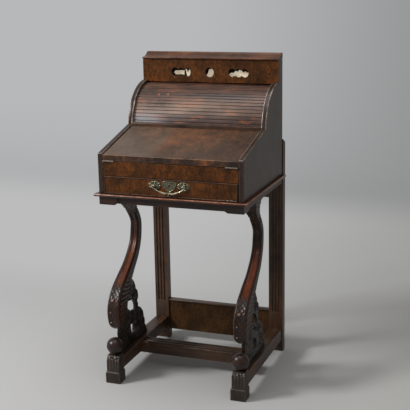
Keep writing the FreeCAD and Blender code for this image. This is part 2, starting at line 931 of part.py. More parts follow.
def tambour():
    body = DOC.addObject("PartDesign::Body", "slats")
    half = S.slat_half_width
    crown = S.slat_crown_radius
    shoulder = slat_outer - (crown - root(crown * crown - half * half))
    sketch = sketch_on(body, "YZ_Plane", [[
        (-shoulder, half),
        (-shoulder, -half, crown),
        (-slat_inner, -half),
        (-slat_inner, half),
    ]])
    pad = body.newObject("PartDesign::Pad", "slat_pad")
    pad.Profile = sketch
    bind(pad, "Length", 2 * slat_end_x)
    put(body, -slat_end_x, hood_y, hood_z)
    pattern = body.newObject("PartDesign::PolarPattern", "slat_row")
    pattern.Originals = [pad]
    pattern.Axis = (sketch, ["N_Axis"])
    pattern.Reversed = True
    bind(pattern, "Angle", S.slat_step_angle * (S.slat_count - 1))
    bind(pattern, "Occurrences", S.slat_count)
    body.Tip = pattern
    keep(body, "tambour_slats")
    canvas_x = inner_x - S.canvas_margin
    canvas = prism("canvas", "YZ_Plane", [
        sector(slat_inner - S.canvas_thick, slat_inner, -S.slat_step_angle / 2, S.lead_end_angle),
    ], -canvas_x, canvas_x)
    keep(canvas, "tambour_canvas")
    lead = prism("lead_stock", "YZ_Plane", [
        sector(slat_inner, slat_outer, S.lead_start_angle, S.lead_end_angle),
    ], -slat_end_x, slat_end_x)
    groove_y, groove_z = hood_point(slat_outer, (S.lead_start_angle + S.lead_end_angle) / 2)
    groove = rod("lead_groove", S.lead_groove_radius, 2 * inner_x, (-inner_x, groove_y, groove_z), "x")
    keep(cut("lead", lead, groove), "tambour_lead_rail")


# Fall, hinges and the rail they are let into

def fall_and_rail():
    right = inner_x - S.fall_side_gap
    left = right - S.hinge_length
    axis_y = case_front - S.hinge_lead
    axis_z = rail_top + S.hinge_rise
    leaf_front = case_front + S.hinge_leaf_gap
    leaf_back = case_front + S.hinge_leaf_width
    middle = (left + S.hinge_end_knuckle + S.hinge_knuckle_gap,
              right - S.hinge_end_knuckle - S.hinge_knuckle_gap)
    ends = ((left, left + S.hinge_end_knuckle), (right - S.hinge_end_knuckle, right))

    def barrel(name, radius, span):
        return rod(name, radius, span[1] - span[0], (span[0], axis_y, axis_z), "x")

    level = (rail_top - S.hinge_leaf_thick, rail_top)
    fixed_plate = block("fixed_plate", (left, right), (leaf_front, leaf_back), level)
    fixed = [fixed_plate]
    for index, span in enumerate(ends):
        fixed.append(block(f"fixed_tongue{index}", span, (axis_y, leaf_back), level))
        fixed.append(barrel(f"fixed_barrel{index}", S.hinge_barrel_radius, span))
    bore = barrel("fixed_bore", S.hinge_pin_radius, (left, right))
    fixed_leaf = cut("fixed_leaf", fuse("fixed_leaf_stock", *fixed), bore)
    keep(group("fixed_leaves", fixed_leaf, mirrored("fixed_leaf_left", fixed_leaf)),
         "fall_hinge_fixed_leaves")

    def leaf_outline(front, back):
        thick = S.hinge_leaf_thick
        return [[
            (front, fall_under(front)),
            (back, fall_under(back)),
            (back, fall_under(back) + thick),
            (front, fall_under(front) + thick),
        ]]

    moving_plate = prism("moving_plate", "YZ_Plane", leaf_outline(leaf_front, leaf_back), left, right)
    tongue = prism("moving_tongue", "YZ_Plane", leaf_outline(axis_y, leaf_back), *middle)
    moving_stock = fuse("moving_leaf_stock", moving_plate, tongue,
                        barrel("moving_barrel", S.hinge_barrel_radius, middle))
    moving_bore = barrel("moving_bore", S.hinge_pin_radius + S.hinge_pin_play, (left, right))
    moving_leaf = cut("moving_leaf", moving_stock, moving_bore)
    keep(group("moving_leaves", moving_leaf, mirrored("moving_leaf_left", moving_leaf)),
         "fall_hinge_moving_leaves")
    pin = barrel("hinge_pin", S.hinge_pin_radius, (left, right))
    keep(group("hinge_pins", pin, mirrored("hinge_pin_left", pin)), "fall_hinge_pins")

    front = case_front + S.fall_front_gap
    back = case_front + S.fall_back_in
    board = prism("fall_stock", "YZ_Plane", [[
        (front, fall_under(front)),
        (back, fall_under(back)),
        (back, fall_under(back) + S.fall_thick),
        (front, fall_under(front) + S.fall_thick),
    ]], -right, right)
    skin_front = case_front + S.leather_margin
    skin_back = back - S.leather_margin
    skin_x = right - S.leather_margin
    leather = prism("leather", "YZ_Plane", [[
        (skin_front, fall_under(skin_front)),
        (skin_back, fall_under(skin_back)),
        (skin_back, fall_under(skin_back) + S.leather_thick),
        (skin_front, fall_under(skin_front) + S.leather_thick),
    ]], -skin_x, skin_x)
    plate_left = mirrored("moving_plate_left", moving_plate)
    keep(cut("fall", board, leather, moving_plate, plate_left), "fall_board")
    keep(leather, "writing_leather")

    rail = block("rail_stock", (-inner_x, inner_x), (case_front, case_front + S.front_rail_thick),
                 (rail_bottom, rail_top))
    half = S.bolt_half_width + S.mortise_margin
    bolt_front = case_front + S.bolt_in
    mortise = block("bolt_mortise", (-half, half),
                    (bolt_front - S.mortise_margin, bolt_front + S.bolt_thick + S.mortise_margin),
                    (rail_bottom, rail_bottom + S.bolt_travel + 2 * S.mortise_margin))
    recess = block("leaf_recess", (left, right), (case_front, leaf_back), level)
    keep(cut("front_rail", rail, mortise, recess, mirrored("leaf_recess_left", recess)), "front_rail")


# Drawer, lock and handle

drawer_half = inner_x - S.drawer_side_play
drawer_top = rail_bottom - S.drawer_gap
drawer_low = case_base + S.drawer_gap
front_back = case_front + S.drawer_front_thick


def drawer_box():
    low = case_base + S.runner_height + S.runner_play
    depth = (front_back, case_front + S.drawer_depth)
    side_inner = drawer_half - S.drawer_side_thick
    side = block("drawer_side", (side_inner, drawer_half), depth, (low, low + S.drawer_side_height))
    keep_pair(side, "drawer_side")
    bottom_low = low + S.drawer_bottom_up
    bottom_top = bottom_low + S.drawer_bottom_thick
    keep(block("drawer_floor", (-side_inner, side_inner), depth, (bottom_low, bottom_top)), "drawer_bottom")
    back = block("drawer_rear", (-side_inner, side_inner), (depth[1] - S.drawer_side_thick, depth[1]),
                 (bottom_top, bottom_top + S.drawer_back_height))
    keep(back, "drawer_back")
    runner = block("runner", (inner_x - S.runner_width, inner_x),
                   (front_back + S.drawer_gap, case_front + S.drawer_depth),
                   (case_base, case_base + S.runner_height))
    keep(group("runners", runner, mirrored("runner_left", runner)), "drawer_runners")


def keyhole_tools(name, front, back):
    """The keyhole's round and slot, from front to back."""
    level = drawer_top - S.keyhole_down
    half = S.keyhole_slot_width / 2
    hole = rod(f"{name}_round", S.keyhole_radius, back - front, (ZERO, front, level), "y")
    slot = block(f"{name}_slot", (-half, half), (front, back), (level - S.keyhole_slot_height, level))
    return hole, slot


def drawer_front():
    outer_x = (-drawer_half, drawer_half)
    bead_back = case_front + S.bead_depth
    rear = block("front_rear", outer_x, (bead_back, front_back), (drawer_low, drawer_top))
    face_x = drawer_half - S.bead_thick
    face_z = (drawer_low + S.bead_thick, drawer_top - S.bead_thick)
    face = block("front_face", (-face_x, face_x), (case_front, bead_back), face_z)
    lock_front = front_back - S.lock_thick
    lock_z = (drawer_top - S.lock_height, drawer_top)
    lock_x = (-S.lock_half_width, S.lock_half_width)
    lock = block("lock_stock", lock_x, (lock_front, front_back), lock_z)
    slot_x = S.bolt_half_width + S.bolt_play
    bolt_y = (case_front + S.bolt_in, case_front + S.bolt_in + S.bolt_thick)
    bolt_top = drawer_top - S.bolt_sink
    bolt_low = bolt_top - S.bolt_height
    slot = block("bolt_slot", (-slot_x, slot_x), (bolt_y[0] - S.bolt_play, bolt_y[1] + S.bolt_play),
                 (bolt_low - S.bolt_play, drawer_top))
    keep(cut("lock_case", lock, slot), "lock_case")
    keep(block("bolt", (-S.bolt_half_width, S.bolt_half_width), bolt_y, (bolt_low, bolt_top)), "lock_bolt")
    front = fuse("drawer_front_stock", rear, face)
    keep(cut("drawer_front", front, lock, *keyhole_tools("front_keyhole", case_front, lock_front)),
         "drawer_front")
    bead_y = (case_front - S.bead_out, bead_back)
    ring = block("bead_outer", outer_x, bead_y, (drawer_low, drawer_top))
    opening = block("bead_opening", (-face_x, face_x), bead_y, face_z)
    keep(cut("cock_bead", ring, opening), "drawer_cock_bead")


ROSETTE_LOBES = 8


def handle():
    plate_y = (case_front - S.plate_thick, case_front)
    shield_top = drawer_top - S.shield_top_down
    side = S.shield_half_width
    shield = prism("shield", "XZ_Plane", [[
        (ZERO, shield_top - S.shield_height, S.shield_side_radius),
        (side, shield_top, S.shield_side_radius),
        (-side, shield_top, S.shield_top_radius),
    ]], *plate_y)
    keep(cut("escutcheon", shield, *keyhole_tools("plate_keyhole", *plate_y)), "escutcheon")
    pivot_z = drawer_top - S.handle_down
    pivot_y = case_front - S.bail_lead
    lobes = []
    for lobe in range(ROSETTE_LOBES):
        turn = Size.of(lobe * 360 / ROSETTE_LOBES)
        lobes.append((S.handle_half_span + S.rosette_half_width * cosine(turn),
                      pivot_z + S.rosette_half_height * sine(turn), S.rosette_lobe_radius))
    plate = prism("rosette", "XZ_Plane", [lobes], *plate_y)
    post = rod("handle_post", S.post_radius, S.post_reach,
               (S.handle_half_span, case_front - S.post_reach, pivot_z), "y")
    bore = rod("handle_bore", S.bail_pin_radius + S.bail_pin_play, 3 * S.post_radius,
               (S.handle_half_span - 1.5 * S.post_radius, pivot_y, pivot_z), "x")
    rosette = cut("rosette_and_post", fuse("rosette_stock", plate, post), bore)
    keep(group("rosettes", rosette, mirrored("rosette_left", rosette)), "handle_rosettes")
    bail = bail_rod()
    put(bail, ZERO, pivot_y, pivot_z)
    parts = [bail]
    for name, elbow_x, pin_x in (("right", S.bail_half_span, S.bail_pin_end),
                                 ("left", -S.bail_half_span, -S.bail_half_span)):
        knuckle = S.bail_knuckle_radius
        parts.append(rod(f"bail_knuckle_{name}", knuckle, 2 * knuckle,
                         (elbow_x - knuckle, pivot_y, pivot_z), "x"))
        parts.append(rod(f"bail_pin_{name}", S.bail_pin_radius, S.bail_half_span - S.bail_pin_end,
                         (pin_x, pivot_y, pivot_z), "x"))
    keep(fuse("bail_stock", *parts), "bail_handle")


def bail_rod():
    """The bail's bent rod about its own pivot line: shoulders, sloping arms and a low hump between."""
    lean, lift = S.bail_lean_angle, S.bail_lift_angle
    bend, hollow, hump = S.bail_bend_radius, S.bail_hollow_radius, S.bail_hump_radius
    top = (S.bail_half_span, ZERO)
    shoulder = (S.bail_half_span, -S.bail_shoulder_drop)
    bend_end = (shoulder[0] - bend * (1 - sine(lean)), shoulder[1] - bend * cosine(lean))
    crest_x = hump * sine(lift)
    arm_x = crest_x + hollow * (sine(lean) + sine(lift))
    arm_z = bend_end[1] - (bend_end[0] - arm_x) * sine(lean) / cosine(lean)
    crest_z = arm_z + hollow * (cosine(lean) - cosine(lift))
    body = DOC.addObject("PartDesign::Body", "bail_body")
    path = sketch_on(body, "XZ_Plane", [[
        top,
        shoulder,
        bend_end + (-bend,),
        (arm_x, arm_z),
        (crest_x, crest_z, -hollow),
        (-crest_x, crest_z, hump),
        (-arm_x, arm_z, -hollow),
        (-bend_end[0], bend_end[1]),
        (-shoulder[0], shoulder[1], -bend),
        (-top[0], ZERO),
    ]], closed=False)
    section = circle_on(body, "XY_Plane", S.bail_half_span, ZERO, S.bail_radius)
    pipe = body.newObject("PartDesign::AdditivePipe", "bail_sweep")
    pipe.Profile = section
    pipe.Spine = (path, [f"Edge{index + 1}" for index in range(path.GeometryCount)])
    return body


def check_and_write():
    """Stops on any failed object or unsound shape, then writes one file for each sub-part."""
    for item in DOC.Objects:
        if "Invalid" in item.State or "Error" in item.State:
            raise RuntimeError(f"{item.Label}: {item.State}")
    for piece in NODES:
        if piece.Shape.isNull() or not piece.Shape.isValid() or not piece.Shape.Solids:
            raise RuntimeError(f"{piece.Label}: the shape is not sound")
    os.makedirs("parts", exist_ok=True)
    for piece in NODES:
        piece.Shape.exportStep(f"parts/{piece.Label}.step")
        print(f"{piece.Label}: {len(piece.Shape.Solids)} solid(s), {piece.Shape.Volume / 1000:.1f} cm3")
    print(f"{len(NODES)} sub-parts")


BUILDERS = (
    feet_and_sleds,
    rear_posts,
    cross_members,
    legs,
    under_frame,
    end_panels,
    carcase_boards,
    nest,
    gallery,
    tambour,
    fall_and_rail,
    drawer_box,
    drawer_front,
    handle,
)
for build_step in BUILDERS:
    build_step()
DOC.recompute()
check_and_write()
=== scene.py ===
"""The looks of a davenport desk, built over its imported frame.

Each sub-assembly of the desk is a class that keeps its sizes and makes its pieces. Lengths are in
metres, in the frame's own axes: X to the right, Y to the back and Z up.
"""

import json
import logging
import math
import sys
from collections.abc import Callable, Iterable, Sequence
from dataclasses import dataclass, field
from enum import Enum

import bmesh
import bpy
import numpy as np
from mathutils import Matrix, Vector, noise
from mathutils.bvhtree import BVHTree

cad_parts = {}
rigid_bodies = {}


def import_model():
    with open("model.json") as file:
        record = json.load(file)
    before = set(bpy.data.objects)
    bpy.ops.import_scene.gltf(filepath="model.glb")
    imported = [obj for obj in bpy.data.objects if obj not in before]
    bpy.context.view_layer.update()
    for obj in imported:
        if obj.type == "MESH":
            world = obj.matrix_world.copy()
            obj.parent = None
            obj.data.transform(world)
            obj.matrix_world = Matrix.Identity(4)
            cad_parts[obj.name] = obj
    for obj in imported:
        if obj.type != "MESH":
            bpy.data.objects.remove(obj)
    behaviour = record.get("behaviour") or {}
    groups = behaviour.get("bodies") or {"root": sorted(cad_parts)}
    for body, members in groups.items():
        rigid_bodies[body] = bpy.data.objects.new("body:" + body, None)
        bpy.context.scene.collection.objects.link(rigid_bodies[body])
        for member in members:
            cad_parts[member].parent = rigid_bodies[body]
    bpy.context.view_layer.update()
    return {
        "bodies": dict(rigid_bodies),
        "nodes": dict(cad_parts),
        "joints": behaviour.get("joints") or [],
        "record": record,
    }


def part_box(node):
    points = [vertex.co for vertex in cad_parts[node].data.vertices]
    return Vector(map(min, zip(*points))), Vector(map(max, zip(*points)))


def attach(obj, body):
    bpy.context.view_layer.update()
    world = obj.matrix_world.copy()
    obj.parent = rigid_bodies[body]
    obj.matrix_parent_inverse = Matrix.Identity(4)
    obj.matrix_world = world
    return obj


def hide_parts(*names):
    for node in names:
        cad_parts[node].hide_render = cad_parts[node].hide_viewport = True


LOG = logging.getLogger("desk")
# Mesh attribute of rubbed places: real wear, and on some eased edges and upward faces a painted highlight as
# well.
WORN_AND_LIT = "worn"
EVEN = (1.0, 1.0, 1.0)
SLAT_TONE = "slat_tone"
WELD = 2e-6
FLAT = math.radians(0.4)
ROUND = math.radians(0.5)
CREASE = math.radians(40)
CALMING_ROUNDS = 2
ROUND_BEVEL = {"offset_type": "OFFSET", "profile": 0.5, "affect": "EDGES", "clamp_overlap": True}

Array = np.ndarray
Face = bmesh.types.BMFace
Material = bpy.types.Material
Mesh = bpy.types.Mesh
Socket = bpy.types.NodeSocket
Work = bmesh.types.BMesh
Colour = tuple[float, float, float, float]
Point = tuple[float, float, float]
Bounds = tuple[float, float, float, float]
Pair = tuple[float, float]
Row = tuple[float, float, float, float, float]


def tone(red: int, green: int, blue: int) -> Colour:
    """A linear colour from an eight-bit screen colour.

    Args:
        red: red, 0 to 255.
        green: green, 0 to 255.
        blue: blue, 0 to 255.

    Returns:
        The colour as four linear numbers.
    """
    def linear(level: int) -> float:
        """One channel as a linear number."""
        share = level / 255
        return share / 12.92 if share <= 0.04045 else ((share + 0.055) / 1.055) ** 2.4

    return (linear(red), linear(green), linear(blue), 1.0)


def tones(text: str) -> tuple[Colour, ...]:
    """Linear colours from six-figure screen colours with spaces between them."""
    return tuple(tone(*bytes.fromhex(word)) for word in text.split())


class Axis(Enum):
    """The way that a board's grain runs."""

    X = 0
    Y = 1
    Z = 2


class Figure(Enum):
    """The pattern of a wood's surface."""

    STRAIGHT = "straight"
    BURR = "burr"
    CARVED = "carved"


class Side(Enum):
    """Which side of the desk a piece belongs to."""

    RIGHT = 1
    LEFT = -1

    @property
    def word(self) -> str:
        """The side's name as it ends a node's name."""
        return self.name.lower()


def operator(operation: str, swapped: bool = False) -> Callable[["Value", "Value | float"], "Value"]:
    """A Python operator that adds one Math node.

    Args:
        operation: the node's operation.
        swapped: whether the other term comes first.

    Returns:
        The operator's method.
    """
    def joined(mine: "Value", other: "Value | float") -> "Value":
        """The node on both terms."""
        return mine.board.maths(operation, *((other, mine) if swapped else (mine, other)))

    return joined


class Value:
    """A number that comes out of a node. Python's operators on it add Math nodes."""

    def __init__(self, board: "NodeBoard", socket: Socket) -> None:
        """Keeps the socket and the tree that it belongs to."""
        self.board = board
        self.socket = socket

    __add__ = __radd__ = operator("ADD")
    __sub__ = operator("SUBTRACT")
    __rsub__ = operator("SUBTRACT", swapped=True)
    __mul__ = __rmul__ = operator("MULTIPLY")
    __truediv__ = operator("DIVIDE")
    __pow__ = operator("POWER")


class NodeBoard:
    """A node tree under construction."""

    def __init__(self, tree: bpy.types.NodeTree) -> None:
        """Keeps the tree that the nodes go into."""
        self.tree = tree

    def node(self, kind: str, inputs: dict | None = None, **settings: object) -> bpy.types.Node:
        """Adds one node.

        Args:
            kind: the node's type.
            inputs: values, sockets or nodes for its inputs, by name or number.
            settings: its own settings, set first; "stops" fills a colour ramp.

        Returns:
            The node.
        """
        made = self.tree.nodes.new(kind)
        stops = settings.pop("stops", ())
        for key, given in settings.items():
            setattr(made, key, given)
        for k, (place, colour) in enumerate(stops):
            ramp = made.color_ramp.elements
            stop = ramp[k] if k < len(ramp) else ramp.new(place)
            stop.position, stop.color = place, colour
        for key, given in (inputs or {}).items():
            if isinstance(given, bpy.types.Node):
                given = given.outputs[0]
            elif isinstance(given, Value):
                given = given.socket
            if isinstance(given, Socket):
                self.tree.links.new(given, made.inputs[key])
            else:
                made.inputs[key].default_value = given
        return made

    def value(self, made: bpy.types.Node, output: str | int = 0) -> Value:
        """The number at a node's output."""
        return Value(self, made.outputs[output])

    def maths(self, operation: str, *terms: "Value | float") -> Value:
        """One Math node on its terms."""
        return self.value(self.node("ShaderNodeMath", dict(enumerate(terms)), operation=operation))

    def between(self, number: Value, low: float, high: float) -> Value:
        """0 below low, 1 above high and smooth in between.

        Args:
            number: what is measured.
            low: where the share starts to rise.
            high: where it reaches 1; below low, the share falls instead.

        Returns:
            The share.
        """
        ends = (low, high, 0.0, 1.0) if low < high else (high, low, 1.0, 0.0)
        inputs = dict(zip(("From Min", "From Max", "To Min", "To Max"), ends), Value=number)
        return self.value(self.node("ShaderNodeMapRange", inputs, interpolation_type="SMOOTHSTEP"))


class Shader(NodeBoard):
    """A material under construction. Patterns read the object's own coordinates."""

    def __init__(self, name: str, seat: Point = (0, 0, 0)) -> None:
        """Starts an empty material.

        Args:
            name: its name.
            seat: how far its patterns are shifted.
        """
        self.material = bpy.data.materials.new(name)
        self.material.use_nodes = True
        self.seat = seat
        super().__init__(self.material.node_tree)
        self.tree.nodes.clear()
        place = self.node("ShaderNodeTexCoord").outputs
        self.point, self.facing = place["Object"], place["Normal"]

    def moved(self, stretch: Point = (1, 1, 1), seat: Point | None = None) -> Socket:
        """The object's point, stretched along each axis and then shifted to its seat."""
        inputs = {"Vector": self.point, "Location": seat or self.seat, "Scale": stretch}
        return self.node("ShaderNodeMapping", inputs).outputs[0]

    def part(self, axis: Axis) -> Value:
        """One coordinate of the object's point."""
        return self.value(self.node("ShaderNodeSeparateXYZ", {0: self.point}), axis.value)

    def cloud(self, stretch: Point, scale: float, detail: float = 3, rough: float = 0.5, bent: float = 0,
              seat: Point | None = None) -> Value:
        """Soft noise around 0.5.

        Args:
            stretch: how often it changes along each axis, as a share of the scale.
            scale: how often it changes in a metre.
            detail: octaves of finer noise.
            rough: strength of the finer noise.
            bent: how far it is bent by itself.
            seat: its own shift, in place of the material's.

        Returns:
            The noise.
        """
        inputs = {"Vector": self.moved(stretch, seat), "Scale": scale, "Detail": detail, "Roughness": rough,
                  "Distortion": bent}
        return self.value(self.node("ShaderNodeTexNoise", inputs), "Fac")

    def cells(self, scale: float) -> Value:
        """Distance to the nearest of scattered points."""
        made = self.node("ShaderNodeTexVoronoi", {"Vector": self.moved(), "Scale": scale})
        return self.value(made, "Distance")

    def ramp(self, share: Value, stops: Sequence[tuple[float, Colour]]) -> Socket:
        """Colours along a share."""
        return self.node("ShaderNodeValToRGB", {0: share}, stops=stops).outputs[0]

    def blend(self, share: "Value | float", first: object, second: object) -> Socket:
        """The first colour or its socket, with a share of the second over it."""
        made = self.node("ShaderNodeMix", {0: share, 6: first, 7: second}, data_type="RGBA")
        return made.outputs[2]

    def attribute(self, name: str) -> Value:
        """A number kept in the piece's mesh."""
        return self.value(self.node("ShaderNodeAttribute", attribute_name=name), "Fac")

    def relief(self, height: Value, depth: float) -> Socket:
        """A surface normal from a height of 0 to 1 that stands for a depth in metres."""
        inputs = {"Height": height, "Distance": depth, "Strength": 1.0}
        return self.node("ShaderNodeBump", inputs).outputs[0]

    def off(self, number: Value, middle: float) -> Value:
        """How far a number is from a middle, either way."""
        return self.maths("ABSOLUTE", number - middle)

    def along(self, axis: Axis, low: Vector, high: Vector) -> Value:
        """A coordinate's share of the way from one corner to the other."""
        start, end = low[axis.value], high[axis.value]
        return (self.part(axis) - start) / (end - start)

    def surface(self, colour: Socket, rough: "Value | float", normal: Socket, **more: object) -> Material:
        """Closes the material with one surface.

        Args:
            colour: its colour.
            rough: its roughness.
            normal: its normal.
            more: other sockets by name, with an underline for each space.

        Returns:
            The material.
        """
        inputs = {"Base Color": colour, "Roughness": rough, "Normal": normal}
        inputs.update({name.replace("_", " "): given for name, given in more.items()})
        face = self.node("ShaderNodeBsdfPrincipled", inputs)
        self.node("ShaderNodeOutputMaterial", {0: face})
        return self.material


def shader_for(label: str, name: str) -> Shader:
    """A material for one piece, seated in the patterns so that no two boards have the same grain."""
    numbers = [sum((i + 3) * ord(letter) * step for i, letter in enumerate(name)) for step in (7, 11, 17)]
    return Shader(f"{label}.{name}", tuple((number % 997) / 61 for number in numbers))


def along_grain(grain: Axis, stretch: float) -> Point:
    """A stretch of the pattern along the grain only."""
    return tuple(stretch if axis is grain else 1.0 for axis in Axis)


@dataclass(frozen=True)
class WoodFinish:
    """A wood under stain and wax."""

    label: str
    dark: Colour
    mid: Colour
    warm: Colour
    rubbed: Colour
    bloom: Colour
    # Colour of painted shade on faces turned away from the sides; None leaves them as they are.
    narrow: Colour | None = None
    figure: Figure = Figure.STRAIGHT
    roughness: float = 0.42
    coat: float = 0.25
    bloom_share: float = 0.25
    grain_depth: float = 0.00018
    shine: float = 0.5
    rub_share: float = 0.6
    rub_even: float = 0.0
    edge_gloss: float = 0.06

    def dress(self, name: str, grain: Axis) -> Material:
        """The material for one piece.

        Args:
            name: the piece's name, which seats the pattern.
            grain: the way that the grain runs.

        Returns:
            The material.
        """
        shader = shader_for(self.label, name)
        fine = along_grain(grain, 0.03)
        streaks = along_grain(grain, 0.055)
        fibre = shader.cloud(fine, 520, 4, 0.6)
        pores = shader.between(shader.cloud(tuple(2.2 * share for share in fine), 700, 2), 0.34, 0.24)
        blotch = shader.cloud(EVEN, 14, 3, 0.55, 0.4)
        if self.figure is Figure.BURR:
            swirl = shader.cloud((1, 1, 0.55), 74, 6, 0.68, 1.1)
            cross = shader.cloud((1, 1, 0.12), 190, 4, 0.6)
            speckle = shader.cloud(EVEN, 190, 4, 0.7, 0.5)
            eyes = shader.between(shader.cells(120), 0.34, 0.10)
            shade = 0.36 * swirl + 0.26 * blotch + 0.10 * cross + 0.24 * speckle - 0.10 * eyes + 0.05
        elif self.figure is Figure.CARVED:
            shade = 0.35 * shader.cloud(streaks, 60, 4, 0.6, 0.3) + 0.40 * blotch + 0.15 * fibre + 0.05
        else:
            shade = 0.50 * shader.cloud(streaks, 75, 5, 0.6, 0.5) + 0.30 * blotch + 0.20 * fibre
        colour = shader.ramp(shade - 0.10 * pores, ((0.34, self.dark), (0.50, self.mid), (0.66, self.warm)))
        dust = shader.between(shader.cloud(EVEN, 9, 4, 0.65), 0.42, 0.68) * self.bloom_share
        colour = shader.blend(dust, colour, self.bloom)
        # Painted shade: where the surface turns away from the sides (X), the colour goes over to a darker,
        # redder tone.
        if self.narrow is not None:
            facing = shader.node("ShaderNodeSeparateXYZ", {0: shader.facing})
            aside = shader.off(shader.value(facing, 0), 0.0)
            colour = shader.blend(0.7 * shader.between(aside, 0.8, 0.5), colour, self.narrow)
        # Rubbed places: wear, and on some eased edges and upward faces a painted highlight.
        worn = shader.attribute(WORN_AND_LIT)
        patchy = shader.between(shader.cloud(EVEN, 48, 5, 0.75), 0.42, 0.66)
        rub = worn * (self.rub_even + (1 - self.rub_even) * patchy)
        colour = shader.blend(rub * self.rub_share, colour, self.rubbed)
        rough = self.roughness + 0.22 * (blotch - 0.5) + 0.16 * (fibre - 0.5) + 0.10 * dust
        rough = rough - self.edge_gloss * worn
        normal = shader.relief(0.6 * fibre + 0.2 * blotch - 0.5 * pores, self.grain_depth)
        return shader.surface(colour, rough, normal, Coat_Weight=self.coat, Coat_Roughness=0.22,
                              Specular_IOR_Level=self.shine)


@dataclass(frozen=True)
class TambourFinish:
    """The tambour's wood: polished slats, sun-faded and rubbed across the middle, with a painted sheen low on
    the left and darker and redder towards the bottom.
    """

    label: str = "tambour_wood"
    dark: Colour = tone(40, 26, 19)
    mid: Colour = tone(74, 50, 38)
    warm: Colour = tone(120, 70, 42)
    faded: Colour = tone(152, 126, 108)
    bare: Colour = tone(186, 106, 58)
    spots: tuple[Point, ...] = ((-0.1579, 0.0776, 0.9670), (-0.1235, 0.0787, 0.9678))
    # Colour of the painted sheen low on the left of the slats.
    bloom: Colour = tone(142, 145, 152)
    # Darker, redder tone over the lower slats.
    stained: Colour = tone(50, 26, 18)

    def dress(self, name: str, low: Vector, high: Vector) -> Material:
        """The material for the slats.

        Args:
            name: the piece's name.
            low: the slats' lowest corner.
            high: the slats' highest corner.

        Returns:
            The material.
        """
        shader = shader_for(self.label, name)
        fibre = shader.cloud((0.03, 1, 1), 480, 4, 0.6)
        streak = shader.cloud((0.05, 1, 1), 90, 4, 0.6, 0.3)
        blotch = shader.cloud((0.6, 1, 1), 16, 4, 0.6, 0.3)
        upright = shader.cloud((1, 0.12, 0.12), 60, 5, 0.7)
        slat = shader.attribute(SLAT_TONE)
        shade = 0.30 * streak + 0.36 * blotch + 0.16 * fibre + 0.10 * upright + 0.07 * slat
        colour = shader.ramp(shade, ((0.38, self.dark), (0.50, self.mid), (0.66, self.warm)))
        across, height = shader.part(Axis.X), shader.along(Axis.Z, low, high)
        middle = 1 - shader.between(shader.off(height, 0.34), 0.16, 0.48)
        wide = 1 - 0.75 * shader.between(shader.off(across, -0.05), 0.07, 0.23)
        wear = middle * wide * (0.3 + 0.7 * shader.between(0.5 * blotch + 0.5 * streak, 0.36, 0.58))
        # Painted sheen: a pale, bluish reflection over the lower left of the slats.
        left = shader.between(across, 0.05, -0.19) * (1 - shader.between(height, 0.26, 0.50))
        haze = left * (0.4 + 0.6 * shader.between(blotch, 0.30, 0.52))
        # Darker and redder towards the bottom of the slats, except at the far left.
        low_strip = shader.between(height, 0.44, 0.36) * shader.between(across, -0.18, -0.09)
        foot = low_strip * (0.6 + 0.4 * streak)
        scuff = shader.between(shader.cloud((0.3, 1, 1), 48, 4, 0.7, seat=(7.1, 2.3, 4.4)), 0.52, 0.68)
        layers = [(wear * 0.66, self.faded), (haze * 0.66, self.bloom), (foot, self.stained),
                  (scuff * (0.10 + 0.22 * middle), self.bare)]
        for spot in self.spots:
            made = shader.node("ShaderNodeVectorMath", {0: shader.point, 1: spot}, operation="DISTANCE")
            away = shader.value(made, "Value")
            layers.append((0.9 * shader.between(away, 0.0050, 0.0015), self.bare))
        layers.append((0.5 * shader.attribute(WORN_AND_LIT) * shader.between(streak, 0.38, 0.6), self.faded))
        for share, over in layers:
            colour = shader.blend(share, colour, over)
        rough = 0.40 + 0.20 * (blotch - 0.5) + 0.14 * (fibre - 0.5) + 0.08 * wear
        normal = shader.relief(0.6 * fibre + 0.3 * streak, 0.00016)
        return shader.surface(colour, rough, normal, Coat_Weight=0.2, Coat_Roughness=0.25)


